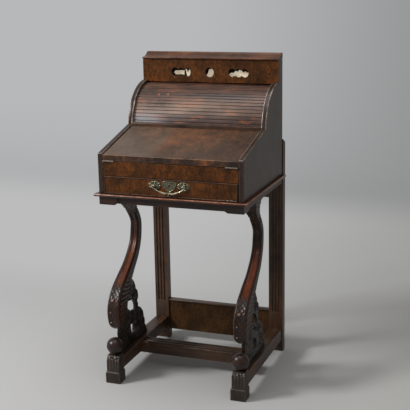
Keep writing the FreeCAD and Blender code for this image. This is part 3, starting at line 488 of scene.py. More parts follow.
@dataclass(frozen=True)
class SlopeFinish:
    """The fall's veneer: a painted sheen towards the left front, warm in the middle, clean on its front edge.
    """

    label: str = "slope_wood"
    dark: Colour = tone(36, 23, 14)
    mid: Colour = tone(66, 42, 26)
    warm: Colour = tone(124, 72, 32)
    # Colour of the painted sheen.
    haze: Colour = tone(112, 98, 86)
    rubbed: Colour = tone(176, 144, 122)

    def dress(self, name: str, low: Vector, high: Vector) -> Material:
        """The material for the fall.

        Args:
            name: the piece's name.
            low: the fall's lowest corner.
            high: the fall's highest corner.

        Returns:
            The material.
        """
        shader = shader_for(self.label, name)
        swirl = shader.cloud((1, 0.7, 1), 84, 6, 0.68, 1.0)
        blotch = shader.cloud(EVEN, 15, 4, 0.6, 0.4)
        cross = shader.cloud((1, 0.09, 0.09), 190, 4, 0.6)
        fibre = shader.cloud(EVEN, 620, 3, 0.6)
        across, back = shader.along(Axis.X, low, high), shader.along(Axis.Y, low, high)
        glow = 1 - shader.between(shader.off(across, 0.52), 0.10, 0.40)
        top = shader.between(back, 0.012, 0.022)
        # Its term over the right end darkens that end a little: painted shade.
        shade = (0.34 * swirl + 0.30 * blotch + 0.16 * cross + 0.14 * fibre
                 + 0.07 * glow * shader.between(back, 0.1, 0.6) - 0.01 * shader.between(across, 0.72, 0.95)
                 + (1 - top) * (0.60 * (blotch - 0.47) - 0.03))
        colour = shader.ramp(shade, ((0.38, self.dark), (0.50, self.mid), (0.66, self.warm)))
        # Painted sheen towards the left front, fainter further back and left off the front edge.
        left = 0.20 + 0.25 * shader.between(across, 0.95, 0.30) + 0.55 * shader.between(across, 0.40, 0.33)
        near = 1 - 0.5 * shader.between(back, 0.35, 0.95)
        cloud = shader.between(shader.cloud(EVEN, 7, 5, 0.7), 0.30, 0.66)
        colour = shader.blend(top * left * near * (0.5 + 0.5 * cloud) * 0.60, colour, self.haze)
        rub = shader.attribute(WORN_AND_LIT) * (0.5 + 0.5 * shader.between(blotch, 0.36, 0.56))
        colour = shader.blend(rub * 0.7, colour, self.rubbed)
        rough = 0.42 + 0.20 * (blotch - 0.5) + 0.12 * (fibre - 0.5) + 0.06 * cloud
        normal = shader.relief(0.6 * fibre + 0.3 * swirl, 0.00010)
        return shader.surface(colour, rough, normal, Specular_IOR_Level=0.35)


@dataclass(frozen=True)
class MetalFinish:
    """A metal with dirt in its hollows."""

    label: str
    bright: Colour
    dull: Colour
    dirt: Colour
    roughness: float = 0.34
    dirt_share: float = 0.6

    def dress(self, name: str) -> Material:
        """The material for one piece.

        Args:
            name: the piece's name, which seats the pattern.

        Returns:
            The material.
        """
        shader = shader_for(self.label, name)
        patch, speck = shader.cloud(EVEN, 130, 5, 0.65, 0.4), shader.cloud(EVEN, 900, 3, 0.6)
        both_sizes = 0.7 * patch + 0.3 * speck
        dirt = (1 - 0.85 * shader.attribute(WORN_AND_LIT)) * shader.between(patch, 0.36, 0.62) * self.dirt_share
        metal = shader.ramp(both_sizes, ((0.38, self.dull), (0.62, self.bright)))
        colour = shader.blend(dirt, metal, self.dirt)
        rough = self.roughness + 0.3 * (speck - 0.5) + 0.3 * dirt
        return shader.surface(colour, rough, shader.relief(both_sizes, 0.00022), Metallic=1 - 0.75 * dirt)


@dataclass(frozen=True)
class SheetFinish:
    """A soft or pale sheet: leather, canvas, lining or tablet."""

    label: str
    base: Colour
    other: Colour
    scale: float
    roughness: float
    depth: float
    woven: bool = False
    pebbled: bool = False
    # Strength of a faint painted glow: the sheet gives out light in its own colour, though it is no lamp.
    glow: float = 0.0

    def dress(self, name: str) -> Material:
        """The material for one piece.

        Args:
            name: the piece's name, which seats the pattern.

        Returns:
            The material.
        """
        shader = shader_for(self.label, name)
        patch, grit = shader.cloud(EVEN, 22, 4, 0.6), shader.cloud(EVEN, self.scale, 3, 0.6)
        if self.woven:
            warp, weft = (shader.maths("SINE", shader.part(axis) * 2400) for axis in (Axis.X, Axis.Z))
            grit = 0.25 * warp * weft + 0.3 * grit + 0.4
        if self.pebbled:
            grit = shader.cells(self.scale) * 0.8 + 0.2 * grit
        colour = shader.ramp(0.6 * patch + 0.4 * grit, ((0.36, self.other), (0.62, self.base)))
        # Emission in the sheet's own colour at the glow's strength: painted light.
        return shader.surface(colour, self.roughness + 0.2 * (grit - 0.5), shader.relief(grit, self.depth),
                              Emission_Color=colour, Emission_Strength=self.glow)


CARVED = WoodFinish("carved_wood", *tones("0c0907 18120d 381e11 8e4626 2c261e"), figure=Figure.CARVED,
                    roughness=0.40, coat=0.14, bloom_share=0.12, shine=0.22, rub_even=0.55)
DEEP = WoodFinish("deep_carving", *tones("0a0906 14110b 2a1c10 60422e 28261e"), figure=Figure.CARVED,
                  roughness=0.38, coat=0.12, bloom_share=0.10, shine=0.24)
# Bosses: their light pinkish tone is partly the wood's and partly a painted glint.
BOSS_LIGHT_AND_GLINT = WoodFinish("carved_boss", *tones("4c3024 704c3c 926450 aa826e 826456"), figure=Figure.CARVED,
                 roughness=0.16, coat=0.9, bloom_share=0.1)
FOOT = WoodFinish("foot_wood", *tones("140f0c 261e18 3e2c21 766458 423a32"), figure=Figure.CARVED,
                  roughness=0.40, coat=0.12, bloom_share=0.25, shine=0.30, rub_share=0.5, rub_even=0.3)
TURNED = WoodFinish("turned_wood", *tones("0f0a08 20140f 4a2418 5a3426 382a24"), figure=Figure.CARVED,
                    roughness=0.36, coat=0.14, bloom_share=0.15, shine=0.32)
STAND = WoodFinish("frame_wood", *tones("1e140d 3a281c 5e3c27 a0705a 584a3c"), roughness=0.42, coat=0.10,
                   bloom_share=0.22, shine=0.28)
# Moulding: its pink rubbed tone on eased edges and upward faces is wear and a painted highlight.
MOULDING = WoodFinish("moulding_wood", *tones("20110a 402416 6c3a22 cc9074 684e3e"), roughness=0.34,
                      coat=0.18, bloom_share=0.12, shine=0.26, rub_share=0.7, rub_even=0.3)
LEAD = WoodFinish("lead_rail_wood", *tones("1c0e0a 361f17 5c2e1e 6e4230 503e36"), roughness=0.40, coat=0.10,
                  bloom_share=0.2, shine=0.3, rub_share=0.3)
CAP = WoodFinish("cap_wood", *tones("24150c 482c1c 7e4c2e a06242 72523e"), roughness=0.36, coat=0.12,
                 bloom_share=0.25, shine=0.25, rub_share=0.5)
# Beading: its pale rubbed tone on the upper edges is wear and a painted highlight.
BEADING = WoodFinish("beading_wood", *tones("1e1009 382012 54301a ba9682 503c2e"), roughness=0.36,
                     coat=0.15, bloom_share=0.1, shine=0.4, rub_even=0.3, edge_gloss=0.14)
# Case wood: its near-white rubbed tone is edge wear and a painted highlight, and its last tone is painted
# shade on faces turned away from the sides.
CASE = WoodFinish("case_wood", *tones("1e140d 36271c 523826 e2cec2 584c3e 281811"), roughness=0.38,
                  coat=0.22, bloom_share=0.35, shine=0.24, rub_share=0.8, rub_even=0.3, edge_gloss=0.22)
BURR = WoodFinish("burr_veneer", *tones("1d0f05 40250e 784116 7e5430 584026"), figure=Figure.BURR,
                  roughness=0.38, coat=0.0, bloom_share=0.08, grain_depth=0.00008, shine=0.18,
                  rub_share=0.3)
PANEL = WoodFinish("panel_veneer", *tones("1c120a 362515 5c3c1f 6e5034 4c3c2a"), figure=Figure.BURR,
                   roughness=0.44, coat=0.0, bloom_share=0.1, grain_depth=0.00008, shine=0.16,
                   rub_share=0.3)
INNER = WoodFinish("inner_wood", *tones("543622 765032 966a44 a07854 786450"), roughness=0.60, coat=0.0,
                   bloom_share=0.3, grain_depth=0.00025)
BRASS = MetalFinish("aged_brass", *tones("beb496 545140 141410"), roughness=0.24, dirt_share=0.98)
BAIL = MetalFinish("aged_brass", *tones("cec4a8 847c62 28281e"), roughness=0.22, dirt_share=0.6)
HINGE = MetalFinish("hinge_brass", *tones("a0968a 645a50 2e2620"), roughness=0.32, dirt_share=0.6)
STEEL = MetalFinish("lock_steel", *tones("78787a 4e4c4c 36261c"), roughness=0.42, dirt_share=0.5)
LEATHER = SheetFinish("writing_leather", *tones("344a32 1e2c20"), scale=900, roughness=0.55, depth=0.00015,
                      pebbled=True)
CANVAS = SheetFinish("canvas", *tones("ac9674 78644a"), scale=700, roughness=0.9, depth=0.0002, woven=True)
LINING = SheetFinish("dark_lining", *tones("1a1412 0e0b0a"), scale=600, roughness=0.85, depth=0.0001)
# The tablets glow a little: painted light that keeps them bright behind the gallery's piercings.
TABLET = SheetFinish("pale_tablet", *tones("f6ecd6 bca482"), scale=260, roughness=0.6, depth=0.0003,
                     glow=0.5)


class Bench:
    """Where pieces are finished and handed to the frame."""

    def __init__(self, frame: dict) -> None:
        """Reads which body each node of the frame rides on.

        Args:
            frame: what the frame's loader returned.
        """
        self.nodes = frame["nodes"]
        bodies = frame["record"]["behaviour"]["bodies"]
        self.body_of = {node: body for body, nodes in bodies.items() for node in nodes}

    def mesh_of(self, node: str) -> Work:
        """A merged copy of a node's mesh.

        Args:
            node: the node's name.

        Returns:
            The working mesh, with touching points joined.
        """
        mesh = bmesh.new()
        mesh.from_mesh(self.nodes[node].data)
        bmesh.ops.remove_doubles(mesh, verts=mesh.verts, dist=WELD)
        return mesh

    def redress(self, node: str, material: Material) -> None:
        """Puts a material on a node that keeps its own shape.

        Args:
            node: the node's name.
            material: its material.
        """
        slots = self.nodes[node].data.materials
        slots.clear()
        slots.append(material)

    def seat(self, name: str, mesh: Mesh, material: Material, body: str, slot: str,
             replaced: Iterable[str] = ()) -> None:
        """Makes a piece of a mesh and lets it ride on its body.

        Args:
            name: the piece's name.
            mesh: its mesh, in place.
            material: its material.
            body: the body that it rides on.
            slot: the record's material slot; not used.
            replaced: nodes that it stands for.
        """
        mesh.name = name
        mesh.materials.clear()
        mesh.materials.append(material)
        for face in mesh.polygons:
            face.material_index = 0
        piece = placed(name, mesh)
        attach(piece, body)
        if replaced:
            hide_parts(*replaced)
        LOG.info("%s: %d faces", name, len(mesh.polygons))

    def stand_in(self, node: str, mesh: Mesh, material: Material, slot: str) -> None:
        """Seats a mesh in place of one node, on that node's body."""
        self.seat(f"{node}_finished", mesh, material, self.body_of[node], slot, [node])


def placed(name: str, data: bpy.types.ID) -> bpy.types.Object:
    """A new object of some data, in the scene.

    Args:
        name: its name.
        data: its mesh, lamp or lens.

    Returns:
        The object.
    """
    made = bpy.data.objects.new(name, data)
    bpy.context.scene.collection.objects.link(made)
    return made


def settled(made: bpy.types.Object) -> Mesh:
    """The mesh that an object's modifiers leave. The object goes.

    Args:
        made: the object.

    Returns:
        The mesh.
    """
    mesh = bpy.data.meshes.new_from_object(made.evaluated_get(bpy.context.evaluated_depsgraph_get()))
    bpy.data.objects.remove(made)
    return mesh


def closed_mesh(name: str, mesh: Work) -> Mesh:
    """Turns working mesh data into a mesh.

    Args:
        name: the mesh's name.
        mesh: the working mesh, which is freed.

    Returns:
        The mesh.
    """
    made = bpy.data.meshes.new(name)
    mesh.to_mesh(made)
    mesh.free()
    return made


def tube(rings: Iterable[Iterable[Sequence[float]]], capped: bool = True) -> Work:
    """Rings of points joined into a tube.

    Args:
        rings: the rings, each with the same number of points.
        capped: whether both ends are closed.

    Returns:
        The working mesh.
    """
    mesh = bmesh.new()
    rows = [[mesh.verts.new(point) for point in ring] for ring in rings]
    for first, second in zip(rows, rows[1:]):
        for k in range(len(first)):
            after = (k + 1) % len(first)
            mesh.faces.new((first[k], first[after], second[after], second[k]))
    if capped:
        mesh.faces.new(reversed(rows[0]))
        mesh.faces.new(rows[-1])
    mesh.normal_update()
    return mesh


def add_mesh(mesh: Work, part: Work) -> None:
    """Moves one working mesh into another.

    Args:
        mesh: the one that grows.
        part: the one that is added and freed.
    """
    made = closed_mesh("part", part)
    mesh.from_mesh(made)
    bpy.data.meshes.remove(made)


@dataclass
class EasedBoard:
    """A board whose sharp outer edges are rounded off and a little worn."""

    width: float = 0.0012
    segments: int = 2
    sharp: float = 28.0
    # Upward-sloping faces, within the range of normals given next, can be marked worn as well: wear, and a
    # painted highlight where they face the light from above.
    rounds_worn: bool = False
    worn_slope: Pair = (0.45, 0.97)
    wear: Callable[[Face], float] = staticmethod(lambda face: 1.0)

    def cut(self, bench: Bench, node: str) -> Mesh:
        """The eased copy of a node.

        Args:
            bench: where the node's mesh comes from.
            node: the node's name.

        Returns:
            The mesh, with the eased strips marked as worn.
        """
        mesh = bench.mesh_of(node)
        bmesh.ops.dissolve_limit(mesh, angle_limit=FLAT, verts=mesh.verts, edges=mesh.edges)
        layer = mesh.faces.layers.float.new(WORN_AND_LIT)
        limit = math.radians(self.sharp)
        inner = [edge for edge in mesh.edges if len(edge.link_faces) == 2]
        smooth = {face for edge in inner if ROUND < edge.calc_face_angle() < limit
                  for face in edge.link_faces}
        for face in mesh.faces:
            face.smooth = face in smooth
        edges = [edge for edge in inner if edge.calc_face_angle_signed() > limit]
        made = bmesh.ops.bevel(mesh, geom=edges, offset=self.width, segments=self.segments, **ROUND_BEVEL)
        for face in made["faces"]:
            face.normal_update()
            face[layer] = self.wear(face)
            face.smooth = True
        # Upward faces marked worn: wear and a painted highlight.
        low, high = self.worn_slope
        for face in mesh.faces:
            if self.rounds_worn and low < face.normal.z < high:
                face[layer] = 1.0
        for edge in mesh.edges:
            edge.smooth = len(edge.link_faces) != 2 or edge.calc_face_angle() < CREASE
        return closed_mesh(node, mesh)


def convexity(mesh: Mesh, reach: float) -> Array:
    """How far each vertex stands out of its neighbours.

    Args:
        mesh: a closed mesh with small faces.
        reach: the height that counts as fully raised.

    Returns:
        A share for each vertex, 0 in hollows and flats to 1 on ridges.
    """
    count = len(mesh.vertices)
    place, normal = np.empty((count, 3)), np.empty((count, 3), np.float32)
    ends = np.empty((len(mesh.edges), 2), int)
    mesh.vertices.foreach_get("co", place.ravel())
    mesh.vertex_normals.foreach_get("vector", normal.ravel())
    mesh.edges.foreach_get("vertices", ends.ravel())
    ways = (ends.T, ends.T[::-1])
    raised, seen = np.zeros(count), np.zeros(count)
    for first, second in ways:
        np.add.at(raised, first, ((place[first] - place[second]) * normal[first]).sum(1))
        np.add.at(seen, first, 1)
    raised /= np.maximum(seen, 1)
    for _ in range(CALMING_ROUNDS):
        spread = raised.copy()
        for first, second in ways:
            np.add.at(spread, first, raised[second])
        raised = spread / (seen + 1)
    return np.clip(raised / reach, 0, 1)


def mark_raised(mesh: Mesh, reach: float) -> None:
    """Keeps the raised share of each vertex in the mesh, where the finishes read it.

    Args:
        mesh: the mesh.
        reach: the height that counts as fully raised, in metres.
    """
    mesh.shade_smooth()
    layer = mesh.attributes.new(WORN_AND_LIT, "FLOAT", "POINT")
    layer.data.foreach_set("value", convexity(mesh, reach).astype(np.float32))


@dataclass
class CarvedBlock:
    """A solid cut over with carving: a fine skin over a node, moved along its normals."""

    grid: float = 0.002
    calm: int = 2
    raised_reach: float = 0.00018

    def cut(self, bench: Bench, node: str, depth_at: Callable[[Array, Array], Array],
            lobes: Iterable[Matrix] = ()) -> Mesh:
        """The carved copy of a node.

        Args:
            bench: where the node's mesh comes from.
            node: the node's name.
            depth_at: for points and normals, how far each point moves along its normal.
            lobes: round lobes grown into the node before it is carved, each as a ball's placing.

        Returns:
            The mesh, with raised places marked.
        """
        block = bench.mesh_of(node)
        for lobe in lobes:
            bmesh.ops.create_icosphere(block, subdivisions=3, radius=1.0, matrix=lobe)
        rough = placed("rough_block", closed_mesh(node, block))
        skin = rough.modifiers.new("skin", "REMESH")
        skin.mode, skin.voxel_size, skin.use_smooth_shade = "VOXEL", self.grid, True
        mesh = settled(rough)
        work = bmesh.new()
        work.from_mesh(mesh)
        for _ in range(self.calm):
            bmesh.ops.smooth_vert(work, verts=work.verts, factor=0.5,
                                  use_axis_x=True, use_axis_y=True, use_axis_z=True)
        work.normal_update()
        place = np.array([vert.co for vert in work.verts])
        normal = np.array([vert.normal for vert in work.verts])
        low, high = (np.array(corner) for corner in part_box(node))
        moved = np.clip(place + normal * depth_at(place, normal)[:, None], low, high)
        for vert, co in zip(work.verts, moved, strict=True):
            vert.co = co
        work.to_mesh(mesh)
        work.free()
        mark_raised(mesh, self.raised_reach)
        return mesh


def bump_at(distance: Array, reach: float) -> Array:
    """A smooth hump: 1 at no distance, near 0 past the reach."""
    return np.exp(-((distance / reach) ** 2))


def rise(number: Array, low: float, high: float) -> Array:
    """0 below low, 1 above high and smooth in between."""
    share = np.clip((number - low) / (high - low), 0, 1)
    return share * share * (3 - 2 * share)


def window(number: Array, bounds: Bounds) -> Array:
    """0 outside the first and last bound, 1 between the inner two and smooth in between."""
    low, full, fading, high = bounds
    return rise(number, low, full) * (1 - rise(number, fading, high))


def ridges(at: Array, rows: Iterable[Point]) -> Array:
    """Smooth ridges, each a height, a place and a reach. A groove has a height below 0."""
    return sum(height * bump_at(at - place, reach) for height, place, reach in rows)


def grit_at(place: Array, scale: float) -> Array:
    """Soft noise, about -0.5 to 0.5, at each point."""
    return np.array([noise.noise(Vector(point) * scale) for point in place])


class Grower(NodeBoard):
    """A geometry node tree that repeats a shape, with named sizes."""

    def __init__(self, name: str) -> None:
        """Starts an empty tree of that name.

        Args:
            name: the tree's name.
        """
        super().__init__(bpy.data.node_groups.new(name, "GeometryNodeTree"))
        self.tree.interface.new_socket("Geometry", in_out="OUTPUT", socket_type="NodeSocketGeometry")
        self.tree.interface.new_socket("Finish", in_out="INPUT", socket_type="NodeSocketMaterial")
        self.entry = self.node("NodeGroupInput")

    def size(self, name: str, kind: str = "NodeSocketFloat") -> "Value | Socket":
        """Adds a named input: a number that maths can be done on, or a plain socket.

        Args:
            name: the input's name.
            kind: its type of socket.

        Returns:
            The number or socket inside the tree.
        """
        self.tree.interface.new_socket(name, in_out="INPUT", socket_type=kind)
        socket = self.entry.outputs[name]
        return Value(self, socket) if kind == "NodeSocketFloat" else socket

    def point(self, x: object = 0.0, y: object = 0.0, z: object = 0.0) -> Socket:
        """A vector from three numbers."""
        return self.node("ShaderNodeCombineXYZ", {0: x, 1: y, 2: z}).outputs[0]

    def close(self, geometry: bpy.types.Node) -> "Grower":
        """Ends the tree in real meshes with their material and smooth faces.

        Args:
            geometry: the node whose geometry is kept.

        Returns:
            The tree itself.
        """
        real = self.node("GeometryNodeRealizeInstances", {0: geometry})
        even = self.node("GeometryNodeSetShadeSmooth", {0: real})
        finish = self.entry.outputs["Finish"]
        dressed = self.node("GeometryNodeSetMaterial", {"Geometry": even, "Material": finish})
        self.node("NodeGroupOutput", {0: dressed})
        return self

    def grow(self, name: str, sizes: dict[str, object], material: Material) -> Mesh:
        """Runs the tree once.

        Args:
            name: the mesh's name.
            sizes: a value for each named input.
            material: the finish.

        Returns:
            A plain mesh.
        """
        seed = placed(f"{name}_seed", bpy.data.meshes.new(f"{name}_seed"))
        step = seed.modifiers.new("grow", "NODES")
        step.node_group = self.tree
        given = {**sizes, "Finish": material}
        for item in self.tree.interface.items_tree:
            if item.in_out == "INPUT":
                step[item.identifier] = given[item.name]
        mesh = settled(seed)
        mesh.name = name
        return mesh


@dataclass
class BeadRow:
    """Carved bosses of one size along a line, grown on points."""

    start: Point
    end: Point
    count: int
    radius: float

    @staticmethod
    def pattern() -> Grower:
        """The tree that puts the bosses on the line.

        Returns:
            The tree.
        """
        grower = Grower("bead_row")
        start, end = grower.size("Start", "NodeSocketVector"), grower.size("End", "NodeSocketVector")
        count, radius = grower.size("Count", "NodeSocketInt"), grower.size("Radius")
        line = grower.node("GeometryNodeMeshLine", {"Count": count, "Start Location": start, "Offset": end},
                           mode="END_POINTS")
        ball = grower.node("GeometryNodeMeshUVSphere", {"Segments": 20, "Rings": 12, "Radius": 1.0})
        return grower.close(grower.node("GeometryNodeInstanceOnPoints",
                                        {"Points": line, "Instance": ball, "Scale": radius}))

    def mesh(self, material: Material) -> Mesh:
        """The bosses as one mesh."""
        sizes = {"Start": self.start, "End": self.end, "Count": self.count, "Radius": self.radius}
        return self.pattern().grow("beads", sizes, material)


@dataclass
class StandPart:
    """A part of the stand that comes on both sides."""

    side: Side
    kind: str = ""

    @property
    def node(self) -> str:
        """The name of its node."""
        return f"{self.kind}_{self.side.word}"


@dataclass
class CarvedLeg(StandPart):
    """An S-shaped front leg: leaf at the top, ribbed shaft and a scaled belly with a boss for an eye."""

    kind: str = "leg"
    # Each row: the height, the way back, the depth and the width in shares, and the lean in degrees.
    spine: tuple[Row, ...] = (
        (1.000, 0.708, 1.100, 1.080, 0),
        (0.930, 0.696, 0.660, 0.950, -12),
        (0.857, 0.800, 0.394, 0.760, -30),
        (0.755, 0.930, 0.372, 0.700, -8),
        (0.670, 0.932, 0.436, 0.700, 6),
        (0.585, 0.890, 0.430, 0.720, 27),
        (0.500, 0.780, 0.452, 0.770, 38),
        (0.419, 0.616, 0.490, 0.810, 45),
        (0.347, 0.458, 0.650, 0.880, 45),
        (0.262, 0.296, 0.894, 0.950, 34),
        (0.170, 0.206, 1.000, 1.000, 14),
        (0.081, 0.219, 0.950, 0.970, -12),
        (0.023, 0.258, 0.500, 0.820, -20),
    )
    # Each row: the share round the ring from the front, then how far back and aside the rim is there.
    rim: tuple[Point, ...] = (
        (0.00, -0.480, 0.00),
        (0.12, -0.490, 0.24),
        (0.20, -0.495, 0.38),
        (0.27, -0.480, 0.46),
        (0.33, -0.420, 0.495),
        (0.45, -0.220, 0.500),
        (0.60, 0.060, 0.495),
        (0.76, 0.330, 0.460),
        (0.87, 0.460, 0.340),
        (1.00, 0.500, 0.00),
    )
    chin: tuple[Pair, ...] = ((0.90, 0.0016), (0.72, 0.0034), (0.45, 0.0046), (0.2, 0.0052))
    reach: float = 0.240
    depth: float = 0.094
    width: float = 0.045
    front_in: float = 0.011
    steps: int = 14
    half_around: int = 40
    raised_reach: float = 0.00030
    shaft_zone: Bounds = (0.30, 0.40, 0.83, 0.87)
    shaft_ribs: tuple[Point, ...] = (
        (0.0011, 0.27, 0.035), (-0.0016, 0.15, 0.075), (0.0007, 0.0, 0.05),
        (-0.0013, 0.36, 0.022), (-0.0009, 0.62, 0.10), (0.0008, 0.80, 0.04),
    )
    head_ends: Pair = (0.33, 0.42)
    head_ribs: tuple[Point, ...] = ((0.0018, 0.27, 0.03), (-0.0012, 0.345, 0.02))
    scale_edge: float = 0.26
    scale_lanes: float = 1.5
    scale_pitch: float = 0.0078
    scale_depth: float = 0.0030
    flank_zone: Bounds = (0.36, 0.42, 0.84, 0.92)
    plume_rate: float = 62
    plume_depth: float = 0.0036
    leaf_ends: Pair = (0.80, 0.84)
    leaf_rib: Point = (0.0010, 0.0, 0.04)
    vein_rate: float = 70
    vein_depth: float = 0.0016
    back_ends: Pair = (0.80, 0.92)
    spurs: tuple[Point, ...] = (
        (0.0050, 0.418, 0.010), (0.0034, 0.385, 0.008), (0.0040, 0.975, 0.010), (0.0046, 0.925, 0.013),
        (0.0036, 0.875, 0.010),
    )
    leaf_edge: float = 0.845
    leaf_proud: float = 0.0020
    worn_heights: Bounds = (0.325, 0.350, 0.430, 0.500)
    worn_sides: Pair = (0.008, 0.014)
    worn_aside: float = 0.003
    worn_rib: Point = (1.0, 0.27, 0.030)
    worn_rib_ends: Pair = (0.50, 0.62)
    worn_share: float = 0.9
    eye_aside: float = 0.003
    eye_height: float = 0.292
    eye_radius: float = 0.0062
    socket: Point = (-0.0016, 0.0066, 0.0016)
    socket_edge: float = 0.34
    bead_aside: float = 0.008
    bead_heights: Pair = (0.252, 0.214)
    bead_radius: float = 0.0032

    def rings(self, start: Vector, end: Vector) -> tuple[Array, Array]:
        """The bare leg as rings of points.

        Args:
            start: lowest corner of the leg's node.
            end: its highest corner.

        Returns:
            The points, ring by ring, and each ring's height share and distance from the top.
        """
        padded = np.array([self.spine[0], *self.spine, self.spine[-1]])
        t = (np.arange(self.steps) / self.steps)[:, None]
        spans = zip(padded, padded[1:], padded[2:], padded[3:])
        smooth = [0.5 * (2 * b + (c - a) * t + (2 * a - 5 * b + 4 * c - d) * t ** 2
                         + (3 * b - a - 3 * c + d) * t ** 3) for a, b, c, d in spans]
        up, away, depth, width, lean = np.vstack([*smooth, padded[-1:]]).T
        y = self.front_y + self.front_in + away * self.reach
        z = start.z + up * (end.z - start.z)
        run = np.concatenate([[0], np.cumsum(np.hypot(np.diff(y), np.diff(z)))])
        round_it, behind, aside = np.array(self.rim).T
        back = np.interp(np.abs(self.around), round_it, behind)
        out = np.interp(np.abs(self.around), round_it, aside) * np.sign(self.around)
        deep, lean = depth * self.depth, np.radians(lean)
        points = np.stack([(start.x + end.x) / 2 + np.outer(width * self.width, out),
                           y[:, None] + np.outer(deep * np.cos(lean), back),
                           z[:, None] - np.outer(deep * np.sin(lean), back)], 2)
        return points, np.stack([up, run], 1)

    @property
    def around(self) -> Array:
        """Each point's share round its ring, 0 in front to 1 or -1 behind."""
        return np.linspace(-1, 1, 2 * self.half_around, endpoint=False)

    @property
    def front_y(self) -> float:
        """Where the front of the case stands."""
        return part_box("end_panel_left")[0].y

    def carving(self, rows: Array) -> Array:
        """How far each point of the rings moves outwards.

        Args:
            rows: each ring's height share and distance from the top.

        Returns:
            The height of the carving at each point.
        """
        high, run = rows[:, :1], rows[:, 1:]
        t = np.abs(self.around)[None, :]
        head = 1 - rise(high, *self.head_ends)
        shaft = window(high, self.shaft_zone)
        carved = shaft * ridges(t, self.shaft_ribs) + head * ridges(t, self.head_ribs)
        carved = carved + head * (1 - rise(t, self.scale_edge - 0.04, self.scale_edge)) * self.scales(run)
        past = t - self.flank_zone[0]
        sweep = self.plume_rate * run + 2.4 * past + 5.0 * past ** 2
        plume = np.abs(np.sin(math.pi * sweep)) ** 0.7 - 0.55
        carved = carved + window(t, self.flank_zone) * head * self.plume_depth * plume
        veins = np.abs(np.sin(math.pi * (self.vein_rate * run - 3.2 * t))) ** 0.7 - 0.5
        leaf = rise(high, *self.leaf_ends)
        carved = carved + leaf * (self.vein_depth * veins + ridges(t, (self.leaf_rib,)))
        carved = carved + rise(t, *self.back_ends) * ridges(high, self.spurs)
        edge = self.leaf_edge + 0.022 * np.cos(t * 22)
        return carved + self.leaf_proud * rise(high - edge, -0.004, 0.004)

    def scales(self, run: Array) -> Array:
        """Overlapping scales over the front face: rows of domes, each proud at its lower edge.

        Args:
            run: each ring's distance from the top.

        Returns:
            The height of the scales at each point.
        """
        across = self.around[None, :] / self.scale_edge * self.scale_lanes
        down = run / self.scale_pitch
        tallest = np.full(np.broadcast(across, down).shape, -1.0)
        for step in (-1, 0, 1):
            row = np.floor(down) + step
            lane = across - 0.5 * (row % 2)
            beside = lane - np.round(lane)
            below = down - (row + 0.5)
            dome = 1 - (beside / 0.62) ** 2 - (below / 0.95) ** 2 + 0.55 * below
            tallest = np.maximum(tallest, np.where(dome > 0, dome, -1.0))
        return self.scale_depth * (np.clip(tallest, 0, 1.2) - 0.6)

    @property
    def eye(self) -> Vector:
        """Where the boss that stands for an eye is, seen from the front."""
        low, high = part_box(self.node)
        return Vector(((low.x + high.x) / 2 - self.eye_aside, self.front_y, self.eye_height))

    @staticmethod
    def on_front(leg: Mesh, x: float, z: float) -> Vector:
        """The point of the leg's front at a place across and a height.

        Args:
            leg: the carved leg.
            x: the place across.
            z: the height.

        Returns:
            The point.
        """
        tree = BVHTree.FromPolygons([vert.co for vert in leg.vertices],
                                    [face.vertices for face in leg.polygons])
        return tree.ray_cast(Vector((x, -1, z)), Vector((0, 1, 0)))[0]

    def mesh(self) -> Mesh:
        """The carved leg's mesh, with the rubbed middle of its lower shaft marked as worn.

        Returns:
            The mesh.
        """
        low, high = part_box(self.node)
        points, rows = self.rings(low, high)
        bare = tube(points, capped=False)
        normal = np.array([vert.normal for vert in bare.verts]).reshape(points.shape)
        bare.free()
        t = np.abs(self.around)[None, :]
        from_eye = np.hypot(points[..., 0] - self.eye.x, points[..., 2] - self.eye.z)
        depth = self.carving(rows) + (t < self.socket_edge) * ridges(from_eye, (self.socket,))
        carved = points + normal * depth[..., None]
        tip = carved[-1].mean(0)
        chin = [tip + (carved[-1] - tip) * shrink - (0, 0, drop) for shrink, drop in self.chin]
        mesh = closed_mesh(self.node, tube([*carved, *chin]))
        mark_raised(mesh, self.raised_reach)
        place = np.array([vert.co for vert in mesh.vertices])
        middle = np.abs(place[:, 0] - (low.x + high.x) / 2 - self.worn_aside)
        band = window(place[:, 2], self.worn_heights) * (1 - rise(middle, *self.worn_sides))
        ridge = ridges(t, (self.worn_rib,)) * (1 - rise(rows[:, :1], *self.worn_rib_ends))
        band[:ridge.size] = np.maximum(band[:ridge.size], ridge.ravel())
        layer = mesh.attributes[WORN_AND_LIT]
        raised = np.array([item.value for item in layer.data])
        layer.data.foreach_set("value", np.maximum(raised, self.worn_share * band).astype(np.float32))
        return mesh

    def build(self, bench: Bench) -> None:
        """Makes and seats the leg, then the eye and the beads below it.

        Args:
            bench: where the pieces are finished.
        """
        leg, x = self.mesh(), self.eye.x
        bead_x = x + self.eye_aside - self.bead_aside
        eye = tuple(self.on_front(leg, x, self.eye_height))
        upper, lower = (tuple(self.on_front(leg, bead_x, z)) for z in self.bead_heights)
        bench.stand_in(self.node, leg, CARVED.dress(self.node, Axis.Z), "carved_wood")
        rows = {"eye": BeadRow(eye, eye, 1, self.eye_radius),
                "beads": BeadRow(upper, lower, 2, self.bead_radius)}
        for name, row in rows.items():
            finish = BOSS_LIGHT_AND_GLINT.dress(f"{name}_{self.side.word}", Axis.Z)
            piece = f"leg_{name}_{self.side.word}"
            bench.seat(piece, row.mesh(finish), finish, bench.body_of[self.node], "carved_wood")


